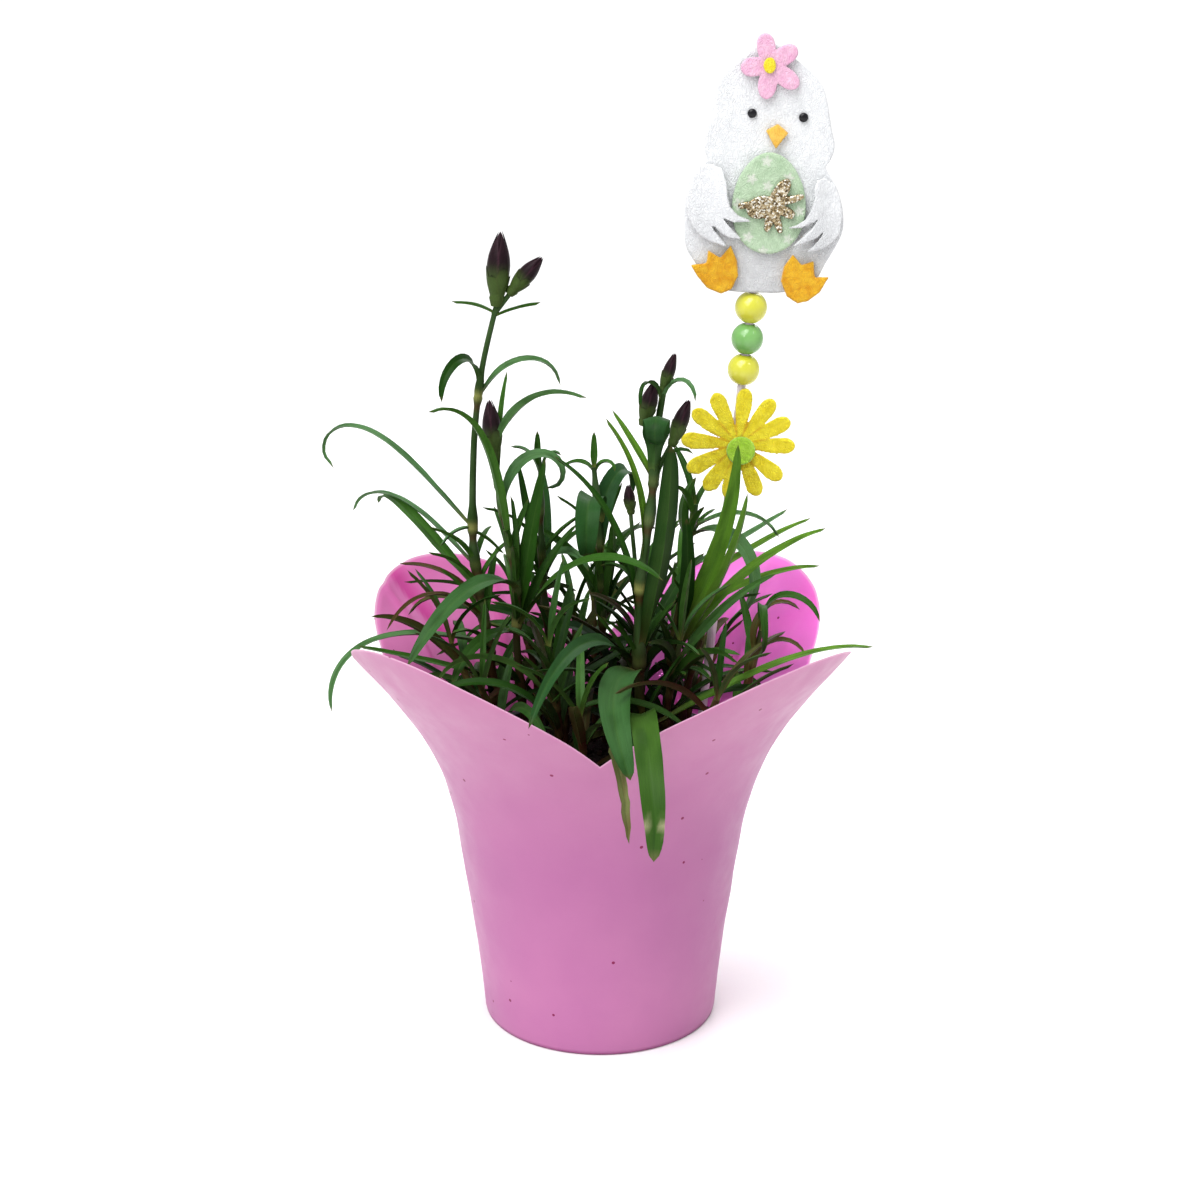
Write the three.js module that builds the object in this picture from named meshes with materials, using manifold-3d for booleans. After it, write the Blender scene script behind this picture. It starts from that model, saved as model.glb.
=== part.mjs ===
// Dianthus in a nursery pot, in a flared plastic pot cover, with a felt chick on a stick.
// Millimetres, +Z up, origin at the middle of the cover's base, -Y is the front.
import * as THREE from 'three';
import { mergeVertices } from 'three/addons/utils/BufferGeometryUtils.js';
import Module from 'manifold-3d';

const wasm = await Module();
wasm.setup();

// ---------- driving dimensions ----------
const GAP = 0.3;
const DEGREE = Math.PI / 180;
const MERGE = 1e-4;
const GRIDS = [0.02, 0.03, 0.013, 0.01, 0.007];
const JOIN_TOLERANCES = [0.1, 0.07, 0.04, 0.02];

// Pot cover: radius of the wall at every 20 mm of height.
const COVER_STEP = 20;
const COVER_RADII = [41, 42.9, 45.4, 48.6, 52, 59, 71.3, 87.3, 99.5, 106];
const COVER_REACH = 170;
const COVER_SHEET = 1;
const COVER_FLOOR = 1.6;
const COVER_BASE_ROUND = 1.5;
// Rim notches as [degrees from the front, height], with the tops of the lobes between them.
const RIM_NOTCHES = [[0, 115.5], [93, 118], [180, 112], [272, 118], [360, 115.5]];
const RIM_TOPS = [149.5, 146.5, 146.5, 152];
const LOBE_COLUMNS = 10;
const COVER_ROWS = [0, 0.3, 0.52, 0.68, 0.8, 0.9, 1];

// Nursery pot and the soil in it.
const POT_FOOT = COVER_FLOOR + GAP;
const POT_TOP = 94;
const POT_FOOT_RADIUS = 38.6;
const POT_TOP_RADIUS = 51.5;
const POT_LIP = 1.2;
const POT_LIP_HEIGHT = 5;
const POT_WALL = 1;
const POT_SIDES = 24;
const SOIL_TOP = 90;
const SOIL_RELIEF = 1.2;
const BURIED = 14;
const HOLE_CLEARANCE = 0.5;

// Pick: the stick leans to the right, its pieces lie in front of it.
const STICK_RADIUS = 1.5;
const STICK_Y = 15;
const STICK_FOOT = [31.3, STICK_Y, 60];
const STICK_LEAN = 0.1;
const STICK_TOP = 292;
const BEAD_RADIUS = 5.35;
const BEAD_HEIGHTS = [224.8, 235.2, 245.6];
const BEAD_BORE = STICK_RADIUS + GAP;
const FELT = 2;
const CHICK_X = 54.5;
const CHICK_Z = 251.5;
const DAISY_X = 46.2;
const DAISY_HEIGHT = 200;
const DAISY_RADIUS = 19.2;
// Directions of the daisy's petals, cut by hand and not quite even.
const DAISY_PETALS = [-2, 25, 52, 83, 115, 143, 175, 208, 236, 261, 292, 321];

// Plant.
const STEM_SIDES = 5;
const JOINT_SWELL = 1.45;
const JOINT_REACH = 2.6;
const LEAF_STEPS = 12;
const LEAF_THICK = 0.95;
const LEAF_RISE = 1.1;
const BROAD_LEAF = 7;
const BLUNT_TIP = 6;
const POINTED_TIP = 2.4;
// A blade is cut at these of its steps: from 48 mm on, from 32 mm on, and below that.
const LONG_LEAF = 48;
const SHORT_LEAF = 32;
const LONG_STATIONS = [0, 2, 4, 6, 8, 10, 11];
const MIDDLE_STATIONS = [0, 3, 6, 9];
const SHORT_STATIONS = [0, 4, 8];
const ROOT_WIDTH = 1;
const CLEARANCE = 0.55;
const MARGIN = 1.4;

// Stems: node, foot radius, tip radius, points from the soil up, heights of the swollen joints.
const STEMS = [
  ['flower_stem_1', 1.7, 0.9, [[-34, 10, 90], [-38, 10, 128], [-42, 10, 157], [-43, 10, 170],
    [-42, 10, 202], [-39, 10, 226], [-33.5, 10, 249]], [110, 127, 137, 150, 158, 171, 216]],
  ['flower_stem_2', 1.5, 1, [[-24, 0, 90], [-28, 0, 131], [-28, 0, 153], [-31, 0, 172],
    [-34, 0, 191], [-35, 0, 199]], [115, 140, 152, 165, 179, 189]],
  ['flower_stem_3', 1.9, 1.1, [[13, -26, 90], [13, -25, 120], [13, -25, 160], [15, -25, 177],
    [17, -25, 195], [18, -25, 212], [20, -25, 226]], [112, 135, 160, 183, 196]],
  ['flower_stem_4', 1, 0.7, [[6, -12, 90], [11, -14, 130], [12, -14, 157], [10, -14, 183]], [128, 157]],
  ['leafy_shoot_middle', 1.3, 0.9, [[-14, 22, 90], [-18, 18, 130], [-20, 14, 165], [-20, 13, 193]],
    [112, 138, 150, 160, 176]],
  ['leafy_shoot_centre', 1.3, 0.9, [[2, 22, 90], [1, 16, 130], [0, 12, 165], [-2, 12, 192]],
    [114, 136, 150, 165, 180]],
  ['leafy_shoot_right', 1.5, 1, [[23, -2, 90], [24, 0, 128], [27, 0, 140]], [106, 118, 128]],
  ['leafy_shoot_right_back', 1.2, 0.9, [[22, 30, 90], [26, 32, 125], [30, 32, 155], [33, 32, 174]],
    [110, 126, 142, 158, 168]],
  ['leafy_shoot_far_right', 1.2, 0.9, [[42, -6, 90], [49, -6, 118], [54, -5, 140]], [106, 118, 128]],
];
// Short twigs that carry a bud beside the stem's own top: node, foot radius, tip radius, points.
const TWIGS = [
  ['flower_stem_1', 0.9, 0.8, [[-35, 10, 244], [-29, 10, 251.6]]],
  ['flower_stem_3', 0.9, 0.8, [[17.5, -25, 203], [14, -27, 216]]],
  ['flower_stem_3', 0.9, 0.8, [[17, -25, 198], [23, -24, 209]]],
];
// Leaves: height on the stem, direction (0 right, 90 back, 180 left, 270 front), length, width,
// slope at the root, slope at the tip, how late the bend comes, sideways sweep, roll.
const LEAVES = {
  flower_stem_1: [
    [244, 175, 15, 1.8, 30, -5, 1, 0, 0],
    [243, 0, 16, 1.8, 25, 5, 1, 0, 0],
    [216, 246, 39, 4.2, 109, -102, 1, -32, -44],
    [216, 6, 38, 3.4, 56, -90, 1.7, 22, 26],
    [171, 172, 79, 3.2, 47, -168, 4.1, -32, -17],
    [171, 205, 14, 2, 10, -60, 1, 0, 0],
    [170, 5, 14, 2, -25, -55, 1, 0, 0],
    [157.3, 151, 64, 3, 39, -69, 2.7, -19, 3],
    [148, 157, 61, 5.2, 44, -61, 4.1, -54, -17],
    [143.6, 169, 33, 2.6, 53, -7, 1.1, 6, -22],
    [139.1, 227, 54, 2.2, 46, -41, 1.3, 17, -19],
    [137.2, 358, 46, 3, -16, -35, 1.5, -36, 9],
    [136.5, 179, 33, 2.6, 56, -68, 1.4, -8, -21],
    [130.3, 193, 72, 3.8, 13, -108, 2.7, 54, -8],
    [127, 250, 34, 3.6, 40, -50, 1, 0, 0],
    [117.4, 202, 51, 3.4, 21, 19, 1.2, 6, -25],
    [110, 255, 30, 3.4, 45, -20, 1, 0, 0],
  ],
  flower_stem_2: [
    [198, -29, 48, 4, 78, -17, 1.1, -3, -32],
    [189, 63, 37, 2.8, 88, 68, 1.3, -6, -6],
    [179.4, 24, 45, 5, 80, -191, 2, -48, 30],
    [165.1, 230, 72, 4.4, 78, -16, 3, -4, 7],
    [152.1, 239, 65, 6.6, 48, -53, 0.7, -18, -22],
    [151.6, -24, 33, 3.4, 86, 103, 1.4, 36, -33],
    [138.2, -39, 74, 4.2, 56, -34, 1.8, 7, 37],
    [137.3, 19, 60, 6.6, 82, 78, 1, -26, 49],
    [136.9, 223, 35, 5, 24, -63, 0.9, 10, -23],
    [134.1, 26, 45, 3.8, 74, 42, 1.2, -7, 28],
    [112.7, 229, 18, 3.2, 53, -56, 1.6, -22, -32],
  ],
  flower_stem_3: [
    [221.8, -40, 22, 2.2, 76, -99, 1.4, -11, 26],
    [221.3, 230, 24, 2.2, 74, -125, 1.5, 45, 14],
    [195.6, 142, 27, 3, 59, 46, 0.7, 1, -13],
    [190.7, -4, 24, 2.6, 79, -51, 2.7, -10, 32],
    [195.6, 276, 48, 8.6, 76, -240, 3.2, -28, 0],
    [166.5, 153, 52, 3.6, 97, 53, 1.1, 31, -21],
    [142.5, 160, 69, 3.6, 86, 32, 1.5, 14, -22],
    [136.7, -13, 72, 7.2, 76, 90, 1.4, -32, -50],
    [131.3, 254, 76, 10, 22, -50, 1.3, 48, -8],
    [113.8, 258, 87, 3.6, 23, -70, 1.9, 35, 11],
    [113.6, 270, 104, 8.6, 28, -112, 2.3, 12, 11],
    [111.9, 131, 59, 3.4, -4, 5, 0.9, -7, -20],
    [109.9, 11, 87, 3.6, 27, -14, 2.6, 12, 18],
  ],
  flower_stem_4: [
    [157, 6, 18, 2.8, 71, 44, 1.6, -1, 26],
    [156.7, 148, 16, 2.6, 64, -28, 1.4, 37, -6],
    [130.2, 249, 97, 5.6, 36, -46, 1.6, -2, -39],
  ],
  leafy_shoot_middle: [
    [190, 62, 14, 2.8, 115, 77, 1.1, 57, -6],
    [189, 167, 15, 2, 73, -18, 1.7, 18, -14],
    [188, 2, 14, 2, 86, -65, 2.3, -37, 2],
    [149.7, -26, 29, 3.6, 95, -74, 1.2, -13, 41],
    [148.9, 127, 43, 4, 65, 77, 0.9, 8, -8],
    [148.3, 83, 43, 4.4, 70, 63, 0.4, 35, 7],
    [138, 130, 40, 3.8, 40, -40, 1, 0, 0],
    [131, -33, 34, 4.8, 41, -77, 1, -7, 21],
    [112, 125, 25, 3.6, 55, -30, 1, 0, 0],
  ],
  leafy_shoot_centre: [
    [191, 90, 12, 2.6, 85, 80, 1, 0, 0],
    [190, 149, 14, 2.1, 47, -44, 0.9, 8, -28],
    [190, -4, 11, 2.1, 71, -94, 1.3, -57, 20],
    [171.9, 259, 46, 8.4, 72, -136, 1.3, 13, -12],
    [160.4, 51, 50, 7, 91, -125, 2.2, 25, 32],
    [150, 60, 44, 4, 60, -30, 1, 0, 0],
    [141.3, 163, 38, 4.4, 70, 20, 1.3, 22, -42],
    [139.7, 325, 33, 4.6, 72, 90, 0.8, -36, -14],
    [136.7, 359, 22, 3.4, 78, 56, 1.1, -14, 42],
    [136, 95, 48, 4, 55, -40, 1, 0, 0],
    [132.7, 229, 32, 4, 62, 112, 0.7, 28, 1],
  ],
  leafy_shoot_right: [
    [135.3, 142, 42, 6, 104, 78, 1.6, -36, -25],
    [134.2, 0, 71, 7, 62, 90, 1.4, -3, 59],
    [127.3, -25, 67, 4.4, 57, 81, 1.6, -5, -34],
    [127, 15, 71, 4.4, 54, 22, 1.5, -46, 39],
    [118.2, -31, 32, 3.4, 59, -22, 1.6, 21, 37],
    [118, -60, 30, 4, 60, -20, 1, 0, 0],
    [106, 20, 44, 3.8, 55, -20, 1, 0, 0],
  ],
  leafy_shoot_right_back: [
    [172, 120, 26, 3.2, 75, 30, 1, 0, 0],
    [164.6, -4, 36, 2.6, 32, -68, 1.5, 23, 28],
    [161.7, -39, 52, 6, 38, -144, 1.1, -5, 22],
    [157.8, 180, 26, 4.6, 73, 129, 1.4, 9, 58],
    [149.4, 27, 45, 3.6, 15, 26, 0.5, -4, 13],
    [140.9, 16, 54, 3.6, 29, 15, 3.4, 1, 20],
    [129.3, 10, 56, 3.6, 33, 7, 1.6, -37, 32],
    [126, 80, 44, 3.6, 50, -30, 1, 0, 0],
    [110, 60, 46, 3.8, 60, 10, 1, 0, 0],
  ],
  leafy_shoot_far_right: [
    [138.9, 266, 41, 3.4, 99, -166, 1.1, 25, -23],
    [138.8, -38, 35, 3.4, 94, -79, 1.2, 22, 34],
    [130.2, 42, 31, 3.2, 103, -52, 1.5, -61, 13],
    [128, 100, 30, 3.2, 60, 20, 1, 0, 0],
    [118.3, 20, 34, 3.2, 95, -63, 1.4, -51, 26],
    [106, -50, 28, 3.4, 54, 20, 1, 0, 0],
  ],
};
// Buds: node, stem that carries it, seat, lean from upright, direction of the lean, length, radius.
const BUDS = [
  ['bud_1', 'flower_stem_1', [-33.8, 10, 250], 4, 0, 22, 4.1],
  ['bud_2', 'flower_stem_1', [-28.4, 10, 252.4], 42, -10, 15, 3],
  ['bud_3', 'flower_stem_2', [-35, 0, 200], 4, 180, 18.5, 3.3],
  ['bud_4', 'flower_stem_3', [20, -25, 227], 18, 0, 12, 2],
  ['bud_5', 'flower_stem_3', [14, -27, 217], 14, 0, 13, 2.8],
  ['bud_6', 'flower_stem_3', [23.4, -24, 209.8], 20, 0, 14.5, 2.6],
  ['bud_7', 'flower_stem_4', [10, -14, 184], 6, 180, 9, 1.9],
];
// Filling shoots, placed by rule around the pot.
const TUFTS = 15;
const TUFT_SEED = 69;
const TUFT_FOOT_RADIUS = 1.2;
const TUFT_TIP_RADIUS = 0.8;
const GOLDEN_ANGLE = 137.5;
const TURNS_TO_TRY = [0, 18, -18, 36, -36, 54, -54];

// ---------- vectors ----------
const add = (a, b) => [a[0] + b[0], a[1] + b[1], a[2] + b[2]];
const subtract = (a, b) => [a[0] - b[0], a[1] - b[1], a[2] - b[2]];
const scale = (a, k) => [a[0] * k, a[1] * k, a[2] * k];
const dot = (a, b) => a[0] * b[0] + a[1] * b[1] + a[2] * b[2];
const cross = (a, b) => [a[1] * b[2] - a[2] * b[1], a[2] * b[0] - a[0] * b[2], a[0] * b[1] - a[1] * b[0]];
const unit = (a) => scale(a, 1 / Math.hypot(...a));
const mix = (a, b, k) => a + (b - a) * k;

let seed = TUFT_SEED;
function draw(low, high) {
  seed = (seed * 1664525 + 1013904223) % 4294967296;
  return mix(low, high, seed / 4294967296);
}

// ---------- solids ----------
const group = new THREE.Group();

function publish(name, geometry, color, roughness, metalness = 0) {
  const material = new THREE.MeshStandardMaterial({ color, roughness, metalness });
  const mesh = new THREE.Mesh(geometry, material);
  mesh.name = name;
  group.add(mesh);
  return mesh;
}

// A skin through rings of points. A ring of one point closes an end, others get a flat end.
function loft(rings) {
  const points = [];
  const triangles = [];
  const starts = rings.map((ring) => {
    points.push(...ring);
    return points.length - ring.length;
  });
  for (let i = 0; i + 1 < rings.length; i += 1) {
    const count = Math.max(rings[i].length, rings[i + 1].length);
    for (let j = 0; j < count; j += 1) {
      const next = (j + 1) % count;
      const low = rings[i].length === 1 ? [0, 0] : [j, next];
      const high = rings[i + 1].length === 1 ? [0, 0] : [j, next];
      const [a, b] = low.map((k) => starts[i] + k);
      const [c, d] = high.map((k) => starts[i + 1] + k);
      if (a !== b) triangles.push([a, b, c]);
      if (c !== d) triangles.push([b, d, c]);
    }
  }
  const last = rings.length - 1;
  for (const [end, turned] of [[0, true], [last, false]]) {
    const count = rings[end].length;
    if (count === 1) continue;
    const middle = points.length;
    points.push(scale(rings[end].reduce(add), 1 / count));
    for (let j = 0; j < count; j += 1) {
      const pair = [starts[end] + j, starts[end] + (j + 1) % count];
      if (turned) pair.reverse();
      triangles.push([middle, ...pair]);
    }
  }
  const mesh = new wasm.Mesh({
    numProp: 3,
    vertProperties: new Float32Array(points.flat()),
    triVerts: new Uint32Array(triangles.flat()),
  });
  return new wasm.Manifold(mesh);
}

// A three.js geometry as a solid that can be joined and cut.
function solidOf(geometry) {
  const bare = geometry.clone();
  bare.deleteAttribute('normal');
  bare.deleteAttribute('uv');
  const merged = mergeVertices(bare, MERGE);
  const index = merged.index.array;
  const kept = [];
  for (let i = 0; i < index.length; i += 3) {
    const [a, b, c] = index.slice(i, i + 3);
    if (a !== b && b !== c && c !== a) kept.push(a, b, c);
  }
  const mesh = new wasm.Mesh({
    numProp: 3,
    vertProperties: new Float32Array(merged.attributes.position.array),
    triVerts: new Uint32Array(kept),
  });
  return new wasm.Manifold(mesh);
}

// The largest body of a solid: sealed hollows are filled and loose scraps dropped.
function largest(solid) {
  const bodies = solid.decompose();
  bodies.sort((a, b) => b.volume() - a.volume());
  return bodies[0];
}

// A solid's skin with its points moved to a grid, so that none nearly meet and no sliver stays.
function snapped(mesh, step) {
  const places = new Map();
  const points = [];
  const moved = [];
  for (let i = 0; i < mesh.vertProperties.length; i += 3) {
    const cell = Array.from(mesh.vertProperties.slice(i, i + 3), (value) => Math.round(value / step));
    const key = cell.join();
    if (!places.has(key)) {
      places.set(key, points.length / 3);
      points.push(...scale(cell, step));
    }
    moved.push(places.get(key));
  }
  const faces = new Map();
  for (let i = 0; i < mesh.triVerts.length; i += 3) {
    const corners = [0, 1, 2].map((k) => moved[mesh.triVerts[i + k]]);
    if (new Set(corners).size < 3) continue;
    const key = [...corners].sort((a, b) => a - b).join();
    // Two faces back to back are a fold with nothing in it.
    if (!faces.delete(key)) faces.set(key, corners);
  }
  return { points, triangles: [...faces.values()] };
}

function isClosed(triangles) {
  const edges = new Map();
  for (const corners of triangles) {
    corners.forEach((corner, k) => {
      const edge = [corner, corners[(k + 1) % 3]].sort((a, b) => a - b).join();
      edges.set(edge, (edges.get(edge) ?? 0) + 1);
    });
  }
  return [...edges.values()].every((count) => count === 2);
}

// A joined solid as a geometry: the plainest form of it that stays closed on a grid.
function geometryOf(solid) {
  const tries = JOIN_TOLERANCES.flatMap((tolerance) => GRIDS.map((step) => [tolerance, step]));
  for (const [tolerance, step] of tries) {
    const { points, triangles } = snapped(solid.simplify(tolerance).getMesh(), step);
    if (isClosed(triangles)) {
      const geometry = new THREE.BufferGeometry();
      geometry.setAttribute('position', new THREE.BufferAttribute(new Float32Array(points), 3));
      geometry.setIndex(triangles.flat());
      return geometry;
    }
  }
  throw new Error('a joined solid stays open on every grid');
}

// ---------- pot cover ----------
function catmull(values, position) {
  const i = Math.min(Math.max(Math.floor(position), 0), values.length - 2);
  const t = position - i;
  const p1 = values[i];
  const p2 = values[i + 1];
  const p0 = i > 0 ? values[i - 1] : 2 * p1 - p2;
  const p3 = i + 2 < values.length ? values[i + 2] : 2 * p2 - p1;
  return p1 + 0.5 * t * (p2 - p0 + t * (2 * p0 - 5 * p1 + 4 * p2 - p3 + t * (3 * (p1 - p2) + p3 - p0)));
}

const coverRadius = (z) => catmull(COVER_RADII, Math.min(z, COVER_REACH) / COVER_STEP);

// Height of the rim at an angle from the front, anticlockwise seen from above.
function rimHeight(degrees) {
  const angle = ((degrees % 360) + 360) % 360;
  const lobe = RIM_NOTCHES.findIndex((notch, i) => i < 4 && angle < RIM_NOTCHES[i + 1][0]);
  const [from, low] = RIM_NOTCHES[lobe];
  const [to, lowNext] = RIM_NOTCHES[lobe + 1];
  const share = (angle - from) / (to - from);
  const base = mix(low, lowNext, share);
  return base + (RIM_TOPS[lobe] - base) * Math.sin(Math.PI * share);
}

function around(degrees, radius, z) {
  return [radius * Math.sin(degrees * DEGREE), -radius * Math.cos(degrees * DEGREE), z];
}

function coverColumns() {
  const columns = [];
  for (let lobe = 0; lobe < RIM_TOPS.length; lobe += 1) {
    for (let i = 0; i < LOBE_COLUMNS; i += 1) {
      const from = RIM_NOTCHES[lobe][0];
      columns.push(mix(from, RIM_NOTCHES[lobe + 1][0], i / LOBE_COLUMNS));
    }
  }
  return columns;
}

function potCover() {
  const columns = coverColumns();
  const ring = (radiusAt, heightAt) => columns.map((a) => around(a, radiusAt(heightAt(a)), heightAt(a)));
  const outside = COVER_ROWS.slice(1).map((share) => {
    const height = (a) => share * rimHeight(a);
    return ring(coverRadius, height);
  });
  const inner = (z) => coverRadius(z) - COVER_SHEET;
  const inside = COVER_ROWS.slice(1).map((share) => {
    const height = (a) => Math.max(COVER_FLOOR, share * rimHeight(a));
    return ring(inner, height);
  });
  const rings = [
    [[0, 0, 0]],
    ring(() => COVER_RADII[0] - COVER_BASE_ROUND, () => 0),
    ring(() => COVER_RADII[0], () => COVER_BASE_ROUND),
    ...outside,
    ...inside.reverse(),
    ring(() => COVER_RADII[0] - COVER_SHEET, () => COVER_FLOOR),
    [[0, 0, COVER_FLOOR]],
  ];
  return loft(rings);
}

// ---------- nursery pot and soil ----------
function nurseryPot() {
  const profile = [
    [0, POT_FOOT],
    [POT_FOOT_RADIUS, POT_FOOT],
    [POT_TOP_RADIUS, POT_TOP - POT_LIP_HEIGHT],
    [POT_TOP_RADIUS + POT_LIP, POT_TOP - POT_LIP_HEIGHT],
    [POT_TOP_RADIUS + POT_LIP, POT_TOP],
    [POT_TOP_RADIUS - POT_WALL, POT_TOP],
    [POT_FOOT_RADIUS - POT_WALL, POT_FOOT + POT_WALL],
    [0, POT_FOOT + POT_WALL],
  ].map(([radius, z]) => new THREE.Vector2(radius, z));
  return new THREE.LatheGeometry(profile, POT_SIDES).rotateX(Math.PI / 2);
}

const potInner = (z) => {
  const share = (z - POT_FOOT - POT_WALL) / (POT_TOP - POT_FOOT - POT_WALL);
  return mix(POT_FOOT_RADIUS, POT_TOP_RADIUS, share) - POT_WALL - GAP;
};

const soilHeight = (x, y) => SOIL_TOP + SOIL_RELIEF * Math.sin(0.31 * x + 0.7) * Math.cos(0.27 * y - 0.4);

function soilBlock() {
  const foot = POT_FOOT + POT_WALL + GAP;
  const side = SOIL_TOP - 2;
  const turns = Array.from({ length: POT_SIDES }, (unused, i) => (i * 360) / POT_SIDES);
  const level = (radius, z) => turns.map((a) => around(a, radius, z));
  const surface = (radius) => level(radius, 0).map(([x, y]) => [x, y, soilHeight(x, y)]);
  return loft([
    [[0, 0, foot]],
    level(potInner(foot), foot),
    level(potInner(side), side),
    surface(potInner(side) - 3),
    surface(30),
    surface(14),
    [[0, 0, soilHeight(0, 0)]],
  ]);
}

// ---------- stems and leaves ----------
// Point of a rising stem at a height.
function stemPoint(points, z) {
  let i = points.findIndex((p) => p[2] > z) - 1;
  if (i < 0) i = z < points[0][2] ? 0 : points.length - 2;
  const share = (z - points[i][2]) / (points[i + 1][2] - points[i][2]);
  const inside = Math.min(Math.max(share, 0), 1);
  return [0, 1].map((axis) => catmull(points.map((p) => p[axis]), i + inside)).concat(z);
}

// Directions across a tube.
function tubeAxes(along) {
  const side = unit(cross(Math.abs(along[1]) < 0.9 ? [0, 1, 0] : [1, 0, 0], along));
  return [side, cross(along, side)];
}

function tube(centres, radii, sides) {
  const rings = centres.map((centre, i) => {
    const before = centres[Math.max(i - 1, 0)];
    const after = centres[Math.min(i + 1, centres.length - 1)];
    const [side, up] = tubeAxes(unit(subtract(after, before)));
    return Array.from({ length: sides }, (unused, j) => {
      const angle = (j / sides) * 2 * Math.PI;
      const spread = add(scale(side, Math.cos(angle)), scale(up, Math.sin(angle)));
      return add(centre, scale(spread, radii[i]));
    });
  });
  return loft(rings);
}

function stemSolid([name, footRadius, tipRadius, points, joints]) {
  const swollen = name.startsWith('flower') ? joints : [];
  const foot = points[0][2];
  const top = points[points.length - 1][2];
  const heights = [foot - BURIED, foot, ...points.slice(1).map((p) => p[2])];
  for (const joint of swollen) heights.push(joint - JOINT_REACH, joint, joint + JOINT_REACH);
  heights.sort((a, b) => a - b);
  const apart = (z, i) => i === 0 || z - heights[i - 1] > JOINT_REACH / 2;
  const kept = heights.filter((z, i) => swollen.includes(z) || z === top || apart(z, i));
  const centres = kept.map((z) => (z < foot ? [points[0][0], points[0][1], z] : stemPoint(points, z)));
  const radii = kept.map((z) => {
    const radius = mix(footRadius, tipRadius, Math.max(0, (z - foot) / (top - foot)));
    return swollen.includes(z) ? radius * JOINT_SWELL : radius;
  });
  return tube(centres, radii, STEM_SIDES);
}

// Centre line of a blade with its directions: along, across and up, for each step.
function leafLine(root, [, direction, length, , rise, fall, bend, sweep, roll]) {
  const line = [];
  let centre = root;
  for (let i = 0; i <= LEAF_STEPS; i += 1) {
    const t = i / LEAF_STEPS;
    const slope = mix(rise, fall, t ** bend) * DEGREE;
    const heading = (direction + sweep * t * t) * DEGREE;
    const along = [
      Math.cos(slope) * Math.cos(heading),
      Math.cos(slope) * Math.sin(heading),
      Math.sin(slope),
    ];
    const level = [-Math.sin(heading), Math.cos(heading), 0];
    const up = cross(along, level);
    const turn = roll * Math.min(1, t * 3) * DEGREE;
    const side = add(scale(level, Math.cos(turn)), scale(up, Math.sin(turn)));
    line.push({ centre, along, side, up: cross(along, side) });
    const middle = mix(rise, fall, ((i + 0.5) / LEAF_STEPS) ** bend) * DEGREE;
    const step = length / LEAF_STEPS;
    centre = add(centre, [
      step * Math.cos(middle) * Math.cos(heading),
      step * Math.cos(middle) * Math.sin(heading),
      step * Math.sin(middle),
    ]);
  }
  return line;
}

// Width of a blade at a share of its length: narrow at the root, widest at two fifths. The tip is
// pointed on a narrow blade and blunt on a broad one.
function leafWidth(width, t) {
  const widening = 0.42 + 0.58 * Math.sin((Math.min(1, t / 0.4) * Math.PI) / 2);
  return width * widening * Math.sqrt(1 - t ** (width > BROAD_LEAF ? BLUNT_TIP : POINTED_TIP));
}

function leafSolid(line, width, stations) {
  const rings = [];
  for (const i of stations) {
    const { centre, side, up } = line[i];
    const half = i === 0 ? ROOT_WIDTH / 2 : leafWidth(width, i / LEAF_STEPS) / 2;
    const lift = scale(up, LEAF_THICK / 3);
    const thick = scale(up, (2 * LEAF_THICK) / 3);
    rings.push([
      add(add(centre, scale(side, half)), lift),
      add(subtract(centre, scale(side, half)), lift),
      subtract(centre, thick),
    ]);
  }
  rings.push([line[LEAF_STEPS].centre]);
  return loft(rings);
}

// ---------- keeping leaves clear of each other ----------
// Each leaf and stem is remembered as a row of flat beads with an owner.
const beads = [];

function leafBeads(line, width, length, owner) {
  const reach = length / LEAF_STEPS / 2;
  return line.map(({ centre, along, side, up }, i) => {
    const half = leafWidth(width, Math.min(i / LEAF_STEPS, 0.97)) / 2;
    return {
      centre,
      axes: [scale(along, reach), scale(side, half), scale(up, LEAF_THICK * 0.7)],
      owner,
      near: i < 3,
    };
  });
}

function stemBeads(points, radius, owner) {
  const foot = points[0][2];
  const top = points[points.length - 1][2];
  for (let z = foot; z <= top; z += 3) {
    const size = radius * JOINT_SWELL;
    beads.push({
      centre: stemPoint(points, z),
      axes: [[size, 0, 0], [0, size, 0], [0, 0, 1.8]],
      owner,
      near: true,
    });
  }
}

const reachOf = (bead, toward) => Math.hypot(...bead.axes.map((axis) => dot(axis, toward)));

function meets(a, b) {
  if (a.owner === b.owner && (a.near || b.near)) return false;
  const between = subtract(b.centre, a.centre);
  const distance = Math.hypot(...between);
  if (distance > 12) return false;
  const toward = scale(between, 1 / Math.max(distance, 0.01));
  const gap = a.owner === b.owner ? 0 : CLEARANCE;
  return distance < reachOf(a, toward) + reachOf(b, toward) + gap;
}

const stickX = (z) => STICK_FOOT[0] + STICK_LEAN * (z - STICK_FOOT[2]);
const stickPoint = (z) => [stickX(z), STICK_Y, z];

// Angle from the front, as for the rim.
const bearing = ([x, y]) => Math.atan2(x, -y) / DEGREE;

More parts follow.
